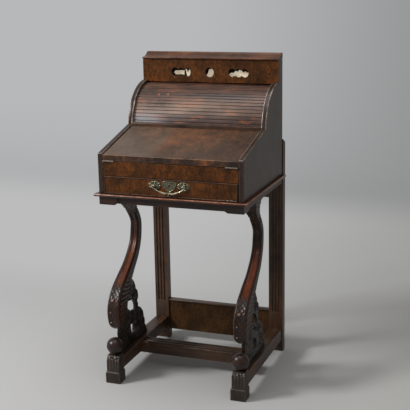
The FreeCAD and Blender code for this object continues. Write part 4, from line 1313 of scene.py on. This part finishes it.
@dataclass
class CarvedPart(StandPart):
    """A part of the stand that is carved all over its node."""

    finish: WoodFinish = CARVED
    skin: CarvedBlock = field(default_factory=CarvedBlock)

    def shares(self, place: Array) -> Array:
        """Where points are in the node's box, 0 to 1, in one row for each axis."""
        low, high = (np.array(corner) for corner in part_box(self.node))
        return ((place - low) / (high - low)).T

    def grown(self) -> list[Matrix]:
        """Balls that are grown into the node before it is carved."""
        return []

    def carving(self, place: Array, normal: Array) -> Array:
        """How far each point of the skin moves along its normal."""
        return np.zeros(len(place))

    def build(self, bench: Bench) -> None:
        """Makes and seats the part."""
        mesh = self.skin.cut(bench, self.node, self.carving, self.grown())
        bench.stand_in(self.node, mesh, self.finish.dress(self.node, Axis.Z), "carved_wood")


@dataclass
class CarvedBracket(CarvedPart):
    """The pierced bracket behind a leg, carved as curling leaves."""

    kind: str = "leg_bracket"
    finish: WoodFinish = DEEP
    skin: CarvedBlock = field(default_factory=lambda: CarvedBlock(0.0018, 2, 0.00020))
    # Each row: the curl's place back and up and its reach, in shares of the bracket's box.
    curls: tuple[Point, ...] = (
        (0.80, 0.20, 0.13), (0.70, 0.37, 0.10), (0.57, 0.72, 0.11), (0.22, 0.42, 0.09), (0.14, 0.12, 0.11),
        (0.36, 0.86, 0.08), (0.55, 0.40, 0.07),
    )
    # Each row: the leaf tip's place back and up and its reach each way in shares, and its turn in degrees.
    tips: tuple[Row, ...] = (
        (0.34, 0.485, 0.115, 0.058, -26), (0.53, 0.445, 0.090, 0.038, -20),
        (0.38, 0.685, 0.110, 0.030, -10), (0.365, 0.20, 0.070, 0.120, 8), (0.47, 0.105, 0.090, 0.045, 0),
    )
    root: Pair = (-0.25, -0.15)
    rib_depth: float = 0.0026
    curl_depth: float = 0.0034

    def grown(self) -> list[Matrix]:
        """The leaf tips that reach into the openings, each as a ball's placing.

        Returns:
            The placings.
        """
        low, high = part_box(self.node)
        size, places = high - low, []
        for y, z, long, tall, turn in self.tips:
            centre = Vector(((low.x + high.x) / 2, low.y + y * size.y, low.z + z * size.z))
            reach = Matrix.Diagonal((size.x / 2, long * size.y, tall * size.z, 1.0))
            places.append(Matrix.Translation(centre) @ Matrix.Rotation(math.radians(turn), 4, "X") @ reach)
        return places

    def carving(self, place: Array, normal: Array) -> Array:
        """Depth of the leaf carving over the bracket's faces.

        Args:
            place: points of the skin.
            normal: their normals.

        Returns:
            How far each point moves outwards.
        """
        _, y, z = self.shares(place)
        out = np.abs(normal[:, 0])
        fan = np.arctan2(z - self.root[1], y - self.root[0])
        far = np.hypot(z - self.root[1], y - self.root[0])
        ribs = np.abs(np.sin(fan * 17 + 5 * far)) ** 0.7
        waves = np.abs(np.sin(far * 24 + 2 * fan))
        hollow = 0.5 - 0.5 * np.cos(2 * math.pi * (y * 1.6 + z * 0.8))
        carved = out * (self.rib_depth * (ribs - hollow) - 0.0030 + 0.0010 * waves)
        for centre_y, centre_z, reach in self.curls:
            away = np.hypot((y - centre_y) * 0.92, z - centre_z)
            turn = np.arctan2(z - centre_z, y - centre_y)
            inside = out * (1 - rise(away, 0.75 * reach, reach))
            spiral = 0.5 + 0.5 * np.cos(2 * math.pi * away / (0.42 * reach) - turn)
            carved = carved * (1 - inside) + inside * self.curl_depth * (spiral - 1)
        return carved + (1 - out) * 0.0012 * (np.abs(np.sin(far * 40)) - 0.5)


@dataclass
class CarvedFoot(CarvedPart):
    """A foot block: gouged upper face, chipped shoulder and plain plinth."""

    kind: str = "foot_block"
    finish: WoodFinish = FOOT
    skin: CarvedBlock = field(default_factory=lambda: CarvedBlock(0.0015, 2, 0.00016))
    gouges: int = 5
    gouge_depth: float = 0.0024
    gouged_heights: Bounds = (0.044, 0.052, 0.090, 0.098)
    chips: Point = (0.006, 0.088, 0.012)

    def carving(self, place: Array, normal: Array) -> Array:
        """Depth of the gouges and chips.

        Args:
            place: points of the skin.
            normal: their normals.

        Returns:
            How far each point moves outwards.
        """
        x, z = self.shares(place)[0], place[:, 2]
        facing = np.clip(-normal[:, 1], 0, 1)
        lanes = np.abs(np.sin(math.pi * (x * self.gouges + 0.12 * np.sin(z * 160))))
        gouged = self.gouge_depth * window(z, self.gouged_heights) * (1 - lanes ** 0.6)
        chipped = np.clip(grit_at(place, 120), 0, 1) * ridges(z, (self.chips,))
        return 0.0004 * grit_at(place, 260) - facing * (gouged + chipped)


@dataclass
class TurnedBalls:
    """The balls on the feet: turned, a little uneven, with a fine line round the middle."""

    turns: int = 56
    rings: int = 36
    unevenness: float = 0.0004
    line_depth: float = 0.0007
    line_level: float = 0.08
    line_reach: float = 0.035

    def build(self, bench: Bench) -> None:
        """Makes and seats both balls as one piece, as their node holds both.

        Args:
            bench: where the piece is finished.
        """
        low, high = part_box("ball_feet")
        radius = (high.y - low.y) / 2
        middle = Vector((0, (low.y + high.y) / 2, high.z - radius))
        mesh = bmesh.new()
        for x in (low.x + radius, high.x - radius):
            bmesh.ops.create_uvsphere(mesh, u_segments=self.turns, v_segments=self.rings, radius=radius,
                                      matrix=Matrix.Translation(middle + Vector((x, 0, 0))))
        for vert in mesh.verts:
            centre = middle + Vector((low.x + radius if vert.co.x < 0 else high.x - radius, 0, 0))
            out = (vert.co - centre).normalized()
            line = self.line_depth * math.exp(-((abs(out.z - self.line_level) / self.line_reach) ** 2))
            vert.co = centre + out * (radius - self.unevenness * (1 + noise.noise(vert.co * 70)) - line)
            vert.co.z = max(vert.co.z, low.z)
        made = closed_mesh("ball_feet", mesh)
        mark_raised(made, 0.0006)
        bench.stand_in("ball_feet", made, TURNED.dress("ball_feet", Axis.Z), "carved_wood")


@dataclass
class Tambour:
    """The roll of crowned slats on their canvas, with the lead rail."""

    axis_y: float = 0.171
    axis_z: float = 0.850
    count: int = 17
    step: float = 4.9
    back: float = 0.1420
    crown: float = 0.1500
    half_width: float = 0.00590
    squareness: Pair = (1.20, 1.5)
    worn_corner: float = 0.0005
    loose_turn: float = 0.004
    loose_out: float = 0.0003
    seed: int = 5

    def pattern(self) -> Grower:
        """The tree that rolls the slats round the hood's axis.

        Returns:
            The tree.
        """
        grower = Grower("tambour_slats")
        count, seed = grower.size("Count", "NodeSocketInt"), grower.size("Seed", "NodeSocketInt")
        step, back, crown, length, width, axis_y, axis_z = (grower.size(name) for name in (
            "Step", "Back Radius", "Crown Radius", "Half Length", "Half Width", "Axis Y", "Axis Z"))
        ring = grower.node("GeometryNodeCurvePrimitiveCircle", {"Resolution": 28, "Radius": 1.0})
        place = grower.node("ShaderNodeSeparateXYZ", {0: grower.node("GeometryNodeInputPosition")})
        bulged = (grower.value(place, i) * bulge for i, bulge in enumerate(self.squareness))
        flat, tall = (grower.maths("MINIMUM", grower.maths("MAXIMUM", part, -1.0), 1.0) for part in bulged)
        half = (crown - back) * 0.5
        corner = grower.maths("ABSOLUTE", flat) ** 3.0
        worn_off = self.worn_corner * corner * grower.between(tall, -0.2, 0.8)
        section = grower.node("GeometryNodeSetPosition", {
            "Geometry": ring, "Position": grower.point(flat * width, half * tall - worn_off)})
        rail = grower.node("GeometryNodeCurvePrimitiveLine", {
            "Start": grower.point(-1 * length), "End": grower.point(length)})
        slat = grower.node("GeometryNodeCurveToMesh", {
            "Curve": rail, "Profile Curve": section, "Fill Caps": True})
        lot = grower.value(grower.node("FunctionNodeRandomValue", {"Seed": seed}, data_type="FLOAT"), 1)
        angle = grower.value(grower.node("GeometryNodeInputIndex")) * step + (lot - 0.5) * self.loose_turn
        radius = back + half + (lot - 0.5) * self.loose_out
        line = grower.node("GeometryNodeMeshLine", {"Count": count})
        spots = grower.node("GeometryNodeSetPosition", {
            "Geometry": line,
            "Position": grower.point(0.0, axis_y - radius * grower.maths("COSINE", angle),
                                     axis_z + radius * grower.maths("SINE", angle))})
        turned = grower.node("GeometryNodeInstanceOnPoints", {
            "Points": spots, "Instance": slat,
            "Rotation": grower.point(math.pi / 2 - angle)})
        return grower.close(grower.node("GeometryNodeStoreNamedAttribute",
                                        {"Geometry": turned, "Name": SLAT_TONE, "Value": lot},
                                        data_type="FLOAT", domain="INSTANCE"))

    def build(self, bench: Bench) -> None:
        """Makes the slats, canvas and lead rail.

        Args:
            bench: where the pieces are finished.
        """
        low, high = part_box("tambour_slats")
        material = TambourFinish().dress("slats", low, high)
        sizes = {"Count": self.count, "Seed": self.seed, "Step": math.radians(self.step),
                 "Back Radius": self.back, "Crown Radius": self.crown, "Half Length": high.x,
                 "Half Width": self.half_width, "Axis Y": self.axis_y, "Axis Z": self.axis_z}
        mesh = self.pattern().grow("tambour_slats", sizes, material)
        bench.stand_in("tambour_slats", mesh, material, "tambour_wood")
        rail = EasedBoard(0.0012, 3).cut(bench, "tambour_lead_rail")
        bench.stand_in("tambour_lead_rail", rail, LEAD.dress("lead_rail", Axis.X), "tambour_wood")
        bench.redress("tambour_canvas", CANVAS.dress("canvas"))


@dataclass
class Boards:
    """Every plain board, rail, panel and moulding: an eased copy of its node in its own finish."""

    rows: tuple[tuple[str, WoodFinish, Axis, float, str], ...]
    wear: dict[str, Callable[[Face], float]] = field(default_factory=dict)
    # Boards whose upward faces are marked worn as well: wear and a painted highlight.
    rounded: tuple[str, ...] = ()

    def build(self, bench: Bench) -> None:
        """Makes and seats the boards.

        Args:
            bench: where the pieces are finished.
        """
        for node, finish, grain, width, slot in self.rows:
            board = EasedBoard(width, 3 if width > 0.001 else 2, rounds_worn=node in self.rounded)
            board.wear = self.wear.get(node, board.wear)
            mesh = board.cut(bench, node)
            bench.stand_in(node, mesh, finish.dress(node, grain), slot)


def alike(nodes: str, finish: WoodFinish, grain: Axis, width: float, slot: str) -> tuple:
    """The same row for each of some boards. A name that ends in an underline stands for both sides.

    Args:
        nodes: the boards' nodes, with spaces between them.
        finish: their finish.
        grain: the way that their grain runs.
        width: how wide their edges are eased.
        slot: the record's material slot.

    Returns:
        The rows.
    """
    names = [name + ending for name in nodes.split()
             for ending in ([side.word for side in Side] if name.endswith("_") else [""])]
    return tuple((name, finish, grain, width, slot) for name in names)


def above(face: Face) -> float:
    """Wear and a painted highlight on upper edges only."""
    return 1.0 if face.normal.z > 0.3 else 0.0


# Where the end panels' rims are marked worn: wear, and a painted highlight line that runs higher and further
# back on the right panel.
HOOD_FOOT = 0.868
HOOD_RUB_AND_HIGHLIGHT_RIGHT = (0.995, 0.135)
HOOD_RUB_AND_HIGHLIGHT_LEFT = (0.948, 0.075)


def low_on_hood(face: Face) -> float:
    """Wear and painted highlight of an end panel: strong on the hood's rim, low on the left panel and nearly
    to the top on the right one, slight on the slope and least on upright edges.

    Args:
        face: a face on an eased edge.

    Returns:
        The share of wear.
    """
    middle = face.calc_center_median()
    top, back = HOOD_RUB_AND_HIGHLIGHT_RIGHT if middle.x > 0 else HOOD_RUB_AND_HIGHLIGHT_LEFT
    if HOOD_FOOT < middle.z < top and middle.y < back:
        return 1.0
    return 0.1 if abs(face.normal.z) < 0.3 else 0.3


STAND_BOARDS = Boards((
    *alike("rear_post_", STAND, Axis.Z, 0.0010, "frame_wood"),
    *alike("sled_", STAND, Axis.Y, 0.0016, "frame_wood"),
    *alike("side_rail_", STAND, Axis.Y, 0.0010, "frame_wood"),
    *alike("corner_block_", TURNED, Axis.X, 0.0012, "frame_wood"),
    *alike("stretcher rear_rail_upper", STAND, Axis.X, 0.0010, "frame_wood"),
    *alike("rear_panel_lower", PANEL, Axis.X, 0.0008, "burr_veneer"),
    *alike("rear_panel_bead", STAND, Axis.X, 0.0008, "frame_wood"),
    *alike("front_under_rail", TURNED, Axis.X, 0.0010, "frame_wood"),
    *alike("base_moulding", MOULDING, Axis.X, 0.0014, "frame_wood"),
# The moulding's upward faces carry wear and a painted highlight.
), rounded=("base_moulding",))
CASE_BOARDS = Boards((
    *alike("end_panel_", CASE, Axis.Z, 0.0042, "case_wood"),
    *alike("case_back", CASE, Axis.Z, 0.0010, "case_wood"),
    *alike("bottom_board", CASE, Axis.X, 0.0008, "case_wood"),
    *alike("front_rail", BURR, Axis.X, 0.0010, "burr_veneer"),
    *alike("gallery_front", BURR, Axis.X, 0.0008, "burr_veneer"),
    *alike("tambour_sill", STAND, Axis.X, 0.0012, "tambour_wood"),
    *alike("gallery_cap", CAP, Axis.X, 0.0014, "frame_wood"),
    *alike("dust_board well_back nest_floor nest_shelf gallery_floor", INNER, Axis.X, 0.0006, "inner_wood"),
    *alike("nest_divider_upper nest_divider_ drawer_runners", INNER, Axis.Y, 0.0006, "inner_wood"),
), {f"end_panel_{side.word}": low_on_hood for side in Side})
MOVING_BOARDS = Boards((
    *alike("drawer_front", BURR, Axis.X, 0.0008, "burr_veneer"),
    *alike("drawer_cock_bead", BEADING, Axis.X, 0.0006, "burr_veneer"),
    *alike("drawer_side_", INNER, Axis.Y, 0.0008, "inner_wood"),
    *alike("drawer_bottom", INNER, Axis.X, 0.0005, "inner_wood"),
    *alike("drawer_back", INNER, Axis.X, 0.0008, "inner_wood"),
), {"drawer_cock_bead": above})


@dataclass
class Fall:
    """The fold-over writing fall's board."""

    ease: float = 0.0020

    def build(self, bench: Bench) -> None:
        """Makes and seats the board.

        Args:
            bench: where the piece is finished.
        """
        mesh = EasedBoard(self.ease, 3).cut(bench, "fall_board")
        finish = SlopeFinish().dress("fall_board", *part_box("fall_board"))
        bench.stand_in("fall_board", mesh, finish, "case_wood")


@dataclass
class PlainNodes:
    """Nodes whose own shape stays, with their material."""

    sheets: tuple[tuple[str, SheetFinish | MetalFinish], ...] = (
        ("writing_leather", LEATHER), ("gallery_liner", LINING),
        ("fall_hinge_fixed_leaves", HINGE), ("fall_hinge_moving_leaves", HINGE), ("fall_hinge_pins", HINGE),
        ("lock_case", STEEL), ("lock_bolt", STEEL),
    )

    def build(self, bench: Bench) -> None:
        """Puts each finish on its node."""
        for node, finish in self.sheets:
            bench.redress(node, finish.dress(node))


@dataclass
class Tablets:
    """The loose pale tablets behind the gallery's piercings, broken along their edges."""

    # The corners of each tablet's outline, across and up, in hundredths of its box.
    outlines: tuple[str, ...] = (
        "10,3 34,0 55,5 100,1 98,40 100,70 60,72 36,66 12,70 11,48 0,44 0,30 10,25",
        "16,50 34,8 66,10 80,45 85,82 58,84 40,46 22,90 5,90",
        "0,0 100,0 100,84 60,80 38,83 22,78 16,60 10,44 0,32",
        "8,24 17,14 25,32 30,16 38,2 50,4 58,26 66,10 76,2 100,12 100,56 86,66 80,55 70,68 64,57 56,72 47,78 "
        "41,62 31,70 25,52 15,55 6,42",
    )
    ease: float = 0.0006
    sharp: float = 1.2

    @staticmethod
    def places(bare: Work) -> list[tuple[Vector, Vector]]:
        """The box of each solid in a mesh, from left to right.

        Args:
            bare: the solids' working mesh.

        Returns:
            The lowest and highest corner of each.
        """
        left, boxes = set(bare.verts), []
        while left:
            group, queue = [], [left.pop()]
            while queue:
                vert = queue.pop()
                group.append(vert.co)
                near = {edge.other_vert(vert) for edge in vert.link_edges} & left
                left -= near
                queue += near
            boxes.append(tuple(Vector([pick(axis) for axis in zip(*group)]) for pick in (min, max)))
        return sorted(boxes, key=lambda box: box[0].x)

    def build(self, bench: Bench) -> None:
        """Makes and seats the tablets.

        Args:
            bench: where the piece is finished.
        """
        bare, mesh = bench.mesh_of("gallery_plaques"), bmesh.new()
        for outline, (low, high) in zip(self.outlines, self.places(bare), strict=True):
            size = high - low
            shares = [[float(part) / 100 for part in corner.split(",")] for corner in outline.split()]
            ring = [mesh.verts.new((low.x + x * size.x, low.y, low.z + z * size.z)) for x, z in shares]
            grown = bmesh.ops.extrude_face_region(mesh, geom=[mesh.faces.new(ring)])
            moved = [item for item in grown["geom"] if isinstance(item, bmesh.types.BMVert)]
            bmesh.ops.translate(mesh, verts=moved, vec=(0, size.y, 0))
        bare.free()
        bmesh.ops.recalc_face_normals(mesh, faces=mesh.faces)
        sharp = [edge for edge in mesh.edges if edge.calc_face_angle_signed() > self.sharp]
        bmesh.ops.bevel(mesh, geom=sharp, offset=self.ease, segments=2, **ROUND_BEVEL)
        made = closed_mesh("gallery_plaques", mesh)
        bench.stand_in("gallery_plaques", made, TABLET.dress("gallery_plaques"), "pale_tablet")


@dataclass
class Rosette:
    """A cast plate of leaves behind one end of the bail, in front of the drawer."""

    centre: Vector
    half_width: float
    half_height: float
    face_y: float
    leaves: int = 8
    twist: float = 1.2
    ledges: tuple[Point, ...] = ((0.0010, 0.30, 0.05), (-0.0008, 0.38, 0.04))
    blade: Point = (0.0014, 0.62, 0.26)
    tip: Point = (0.0011, 0.74, 0.13)
    pit: Point = (0.0028, 0.56, 0.11)
    rings: int = 22
    around: int = 144

    def height(self, out: Array, turn: Array) -> Array:
        """How far the casting stands off the drawer.

        Args:
            out: share of the way from the middle to the rim.
            turn: the direction from the middle.

        Returns:
            The height at each point, in metres.
        """
        wave = self.leaves * turn / 2 + self.twist * out
        leaf, gap = np.abs(np.cos(wave)), np.abs(np.sin(wave))
        height = 0.0010 + 0.0016 * (1 - out ** 2) + ridges(out, self.ledges)
        height = height + leaf * ridges(out, (self.blade,)) + leaf ** 4 * ridges(out, (self.tip,))
        height = height + 0.0009 * bump_at(gap, 0.30) * rise(out, 0.3, 0.5)
        pits = bump_at(leaf, 0.42) * ridges(out, (self.pit,))
        cast = 0.0011 * np.sin(7 * turn + 9 * out) * np.sin(5 * turn - 14 * out + self.centre.x * 90)
        return np.maximum(height + cast - pits, 0.0003) * (1 - rise(out, 0.93, 1.0)) + 0.0002

    def mesh(self) -> Work:
        """The plate as a closed working mesh.

        Returns:
            The working mesh.
        """
        turn = np.linspace(0, 2 * math.pi, self.around, endpoint=False)
        rim = 0.90 + 0.10 * np.abs(np.cos(self.leaves * turn / 2 + self.twist)) ** 0.6
        rings = []
        for out in np.linspace(0.04, 1.0, self.rings):
            rings.append(np.stack([self.centre.x + self.half_width * out * rim * np.cos(turn),
                                   self.face_y - self.height(np.full_like(turn, out), turn),
                                   self.centre.z + self.half_height * out * rim * np.sin(turn)], 1))
        behind = rings[-1].copy()
        behind[:, 1] = self.face_y
        mesh = tube([*rings, behind])
        bmesh.ops.recalc_face_normals(mesh, faces=mesh.faces)
        return mesh


@dataclass
class Handle:
    """The drawer's cast brass: leafy rosettes with their posts, shield and hanging bail."""

    span: float = 0.050
    border: float = 0.0015
    keyhole_half: float = 0.004
    keyhole_low: float = 0.705
    # Each row: how far aside and up from the pivot, and the rod's radius there.
    bow: tuple[Point, ...] = (
        (0.000, -0.0226, 0.0022), (0.004, -0.0231, 0.0028), (0.012, -0.0246, 0.0040),
        (0.022, -0.0226, 0.0034), (0.034, -0.0180, 0.0025), (0.043, -0.0140, 0.0022),
        (0.050, -0.0098, 0.0022), (0.0550, -0.0055, 0.0022), (0.0565, -0.0015, 0.0021),
        (0.0552, 0.0, 0.0018), (0.051, 0.0, 0.0015), (0.045, 0.0, 0.0015),
    )
    bow_calming: int = 6
    drop_down: float = -0.0290
    drop_size: Point = (0.0024, 0.0024, 0.0046)
    plate_deep: float = 0.0013
    post_reach: float = 0.0045
    border_depth: float = 0.0009
    border_reach: float = 0.0008
    skin: CarvedBlock = field(default_factory=lambda: CarvedBlock(0.0005, 2, 0.00010))

    def bordered(self, bench: Bench) -> Callable[[Array, Array], Array]:
        """Relief of the shield: a sunk field with its keyhole, inside a border along the outline.

        Args:
            bench: where the shield's own mesh comes from.

        Returns:
            The depth for points and normals.
        """
        bare = bench.mesh_of("escutcheon")
        line = []
        for edge in bare.edges:
            first, second = (vert.co for vert in edge.verts)
            keyhole = abs(first.x) < self.keyhole_half and first.z > self.keyhole_low
            if edge.calc_face_angle(0) > 1.0 and abs(first.y - second.y) < 1e-5 and not keyhole:
                line += [first.lerp(second, t) for t in np.linspace(0, 1, 12)]
        bare.free()
        line = np.array([(point.x, point.z) for point in line])

        def depth(place: Array, normal: Array) -> Array:
            """Depth of the border and of the casting's unevenness.

            Args:
                place: points of the skin.
                normal: their normals.

            Returns:
                How far each point moves outwards.
            """
            near = np.array([np.hypot(line[:, 0] - x, line[:, 1] - z).min() for x, z in place[:, (0, 2)]])
            facing = np.clip(-normal[:, 1], 0, 1)
            sunk = self.border_depth * (bump_at(near - self.border, self.border_reach) - 1)
            return facing * (sunk * rise(near, 0.0, self.border) + 0.0002 * grit_at(place, 260))

        return depth

    def bail(self, pivot: Vector) -> Mesh:
        """The bail's mesh: a cast rod swept along a bow, thick in its lower arms, with a small drop.

        Args:
            pivot: the middle of its pivot line.

        Returns:
            The mesh.
        """
        rows = np.array([(-x, z, r) for x, z, r in self.bow[::-1]] + list(self.bow)[1:])
        steps = np.linspace(0, len(rows) - 1, 12 * len(rows))
        x, z, radius = (np.interp(steps, range(len(rows)), column) for column in rows.T)
        for _ in range(self.bow_calming):
            x[1:-1], z[1:-1] = ((line[:-2] + 2 * line[1:-1] + line[2:]) / 4 for line in (x, z))
        middle = np.stack([x + pivot.x, np.full_like(x, pivot.y), z + pivot.z], 1)
        along = np.gradient(middle, axis=0)
        along /= np.linalg.norm(along, axis=1)[:, None]
        out = np.array([0.0, 1.0, 0.0])
        up = np.cross(along, out)
        turn = np.linspace(0, 2 * math.pi, 24, endpoint=False)
        mesh = tube(middle[:, None] + radius[:, None, None] * (
            np.cos(turn)[None, :, None] * out + np.sin(turn)[None, :, None] * up[:, None]))
        hung = pivot + Vector((0, 0, self.drop_down))
        place = Matrix.Translation(hung) @ Matrix.Diagonal((*self.drop_size, 1))
        bmesh.ops.create_uvsphere(mesh, u_segments=24, v_segments=16, radius=1.0, matrix=place)
        bmesh.ops.recalc_face_normals(mesh, faces=mesh.faces)
        made = closed_mesh("bail_handle", mesh)
        mark_raised(made, 0.00030)
        return made

    def posts(self, bench: Bench, face: float, middle: float) -> Work:
        """The rosettes' posts: their node without its plain plates.

        Args:
            bench: where the node's mesh comes from.
            face: where the drawer's face stands.
            middle: the height of the posts.

        Returns:
            The working mesh.
        """
        mesh = bench.mesh_of("handle_rosettes")
        cast = [vert for vert in mesh.verts if vert.co.y > face - self.plate_deep and (
            abs(abs(vert.co.x) - self.span) > self.post_reach or abs(vert.co.z - middle) > self.post_reach)]
        bmesh.ops.delete(mesh, geom=cast, context="VERTS")
        return mesh

    def build(self, bench: Bench) -> None:
        """Makes and seats the brasses.

        Args:
            bench: where the pieces are finished.
        """
        low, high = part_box("handle_rosettes")
        face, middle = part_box("escutcheon")[1].y, (low.z + high.z) / 2
        mesh = bmesh.new()
        for side in Side:
            centre = Vector((side.value * self.span, face, middle))
            add_mesh(mesh, Rosette(centre, high.x - self.span, (high.z - low.z) / 2, face).mesh())
        add_mesh(mesh, self.posts(bench, face, middle))
        made = closed_mesh("handle_rosettes", mesh)
        mark_raised(made, 0.00022)
        bench.stand_in("handle_rosettes", made, BRASS.dress("handle_rosettes"), "aged_brass")
        shield = self.skin.cut(bench, "escutcheon", self.bordered(bench))
        bench.stand_in("escutcheon", shield, BRASS.dress("escutcheon"), "aged_brass")
        bail_low, bail_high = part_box("bail_handle")
        pivot = Vector((0, (bail_low.y + bail_high.y) / 2, middle))
        bench.stand_in("bail_handle", self.bail(pivot), BAIL.dress("bail_handle"), "aged_brass")


@dataclass(frozen=True)
class Lamp:
    """A soft square lamp: its place, the point that it faces, its side in metres and its power in watts."""

    name: str
    place: Point
    aim: Point
    size: float
    power: float
    colour: Point

    def hang(self) -> None:
        """Puts the lamp in the scene."""
        light = bpy.data.lights.new(self.name, "AREA")
        light.shape, light.size, light.energy, light.color = "SQUARE", self.size, self.power, self.colour
        made = placed(self.name, light)
        made.location = self.place
        made.rotation_euler = (Vector(self.aim) - Vector(self.place)).to_track_quat("-Z", "Y").to_euler()


@dataclass
class Studio:
    """The pale floor that sweeps up behind, the soft lights and the camera."""

    floor_tones: tuple[Colour, ...] = tones("b3b3b4 b4b4b1")
    # Backdrop tones below carry painted shade: darker towards the right and low on the sweep.
    rear_tones: tuple[Colour, ...] = tones("bcbcbc 9a9a98")
    wall_low: Colour = tone(175, 176, 177)
    wall_left: Colour = tone(183, 184, 186)
    wall_right: Colour = tone(140, 141, 141)
    mottle: Colour = tone(150, 148, 144)
    half_width: float = 9.0
    front: float = -6.0
    back: float = 3.4
    sweep: float = 1.6
    top: float = 7.0
    lamps: tuple[Lamp, ...] = (
        Lamp("key_lamp", (-2.6, -1.9, 2.7), (0, 0, 0.6), 0.9, 122, (0.99, 0.985, 0.975)),
        Lamp("top_lamp", (0.0, -0.4, 3.6), (0, 0.1, 0.6), 2.0, 40, (0.98, 0.99, 1.0)),
    )
    sky: Colour = (1.0, 0.972, 0.94, 1.0)
    sky_strength: float = 0.34
    eye: Point = (1.13609, -2.97908, 1.38527)
    across: Point = (0.9393965, 0.34242105, -0.01679426)
    upward: Point = (-0.0669103, 0.23116565, 0.97061087)
    onward: Point = (-0.33623985, 0.91066474, -0.2400677)
    film: float = 36.0
    focal_pixels: float = 947.14
    frame_pixels: float = 410.0

    def sheet(self) -> Mesh:
        """The floor and backdrop as one swept sheet.

        Returns:
            The mesh.
        """
        arc = [(self.back + self.sweep * math.sin(a), self.sweep - self.sweep * math.cos(a))
               for a in np.linspace(0, math.pi / 2, 24)]
        line = [(self.front, 0.0), *arc, (self.back + self.sweep, self.top)]
        mesh = bmesh.new()
        rows = [[mesh.verts.new((x, y, z)) for x in (-self.half_width, self.half_width)] for y, z in line]
        for lower, upper in zip(rows, rows[1:]):
            mesh.faces.new((lower[0], lower[1], upper[1], upper[0])).smooth = True
        return closed_mesh("studio_floor", mesh)

    def paint(self) -> Material:
        """The sheet's material: lit near the desk, and far from it a glowing backdrop with painted shade,
        darker towards the right and low on the sweep.

        Returns:
            The material.
        """
        shader = Shader("studio_floor")
        side, back = shader.part(Axis.X), shader.part(Axis.Y)
        floor = shader.blend(shader.between(side, -1.2, 1.6), *self.floor_tones)
        cloud = shader.cloud(EVEN, 1.4, 3, 0.5)
        ground = shader.node("ShaderNodeBsdfPrincipled", {
            "Base Color": shader.blend(0.08 * cloud, floor, self.mottle), "Roughness": 0.9,
            "Specular IOR Level": 0.1})
        # Painted shade on the glowing backdrop: darker low on the sweep and towards the right.
        left = shader.blend(shader.between(back, 3.0, 4.7), self.wall_low, self.wall_left)
        upper = shader.blend(shader.between(side, -2.1, 1.0), left, self.wall_right)
        rear = shader.blend(shader.between(side, -1.0, 1.0), *self.rear_tones)
        wall = shader.node("ShaderNodeEmission",
                           {"Color": shader.blend(shader.between(back, 2.0, 2.9), rear, upper)})
        ray = shader.node("ShaderNodeLightPath")
        kinds = ("Camera", "Glossy", "Transmission")
        camera, glossy, through = (shader.value(ray, f"Is {kind} Ray") for kind in kinds)
        far = shader.between(back - 0.6 * shader.between(side, 0.0, 0.5), 0.28, 1.0)
        mixed = shader.node("ShaderNodeMixShader", {
            0: (camera + glossy + through) * far, 1: ground, 2: wall})
        shader.node("ShaderNodeOutputMaterial", {0: mixed})
        return shader.material

    def light(self) -> None:
        """Hangs the lamps and sets the sky."""
        for lamp in self.lamps:
            lamp.hang()
        world = bpy.data.worlds.new("sky")
        bpy.context.scene.world = world
        world.use_nodes = True
        board = NodeBoard(world.node_tree)
        world.node_tree.nodes.clear()
        sky = board.node("ShaderNodeBackground", {"Color": self.sky, "Strength": self.sky_strength})
        board.node("ShaderNodeOutputWorld", {0: sky})

    def camera(self) -> None:
        """Sets the camera where the photograph was taken from."""
        lens = bpy.data.cameras.new("camera")
        lens.sensor_width = self.film
        lens.lens = self.film * self.focal_pixels / self.frame_pixels
        lens.clip_start, lens.clip_end = 0.05, 60
        made = placed("camera", lens)
        axes = Matrix((self.across, self.upward, [-part for part in self.onward])).transposed()
        made.matrix_world = Matrix.Translation(self.eye) @ axes.to_4x4()
        bpy.context.scene.camera = made

    def build(self) -> None:
        """Makes the floor, lamps and camera."""
        mesh = self.sheet()
        mesh.materials.append(self.paint())
        sheet = placed("studio_floor", mesh)
        self.light()
        self.camera()
        bpy.context.scene.view_settings.view_transform = "Standard"


def main() -> None:
    """Builds the desk's pieces in order, then the studio."""
    logging.basicConfig(level=logging.INFO, format="%(name)s %(message)s", stream=sys.stdout)
    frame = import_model()
    bench = Bench(frame)
    for side in Side:
        for part in (CarvedLeg(side), CarvedBracket(side), CarvedFoot(side)):
            part.build(bench)
    for part in (TurnedBalls(), STAND_BOARDS, CASE_BOARDS, Tambour(), Fall(), MOVING_BOARDS, PlainNodes(),
                 Tablets(), Handle()):
        part.build(bench)
    Studio().build()


if __name__ == "__main__":
    main()
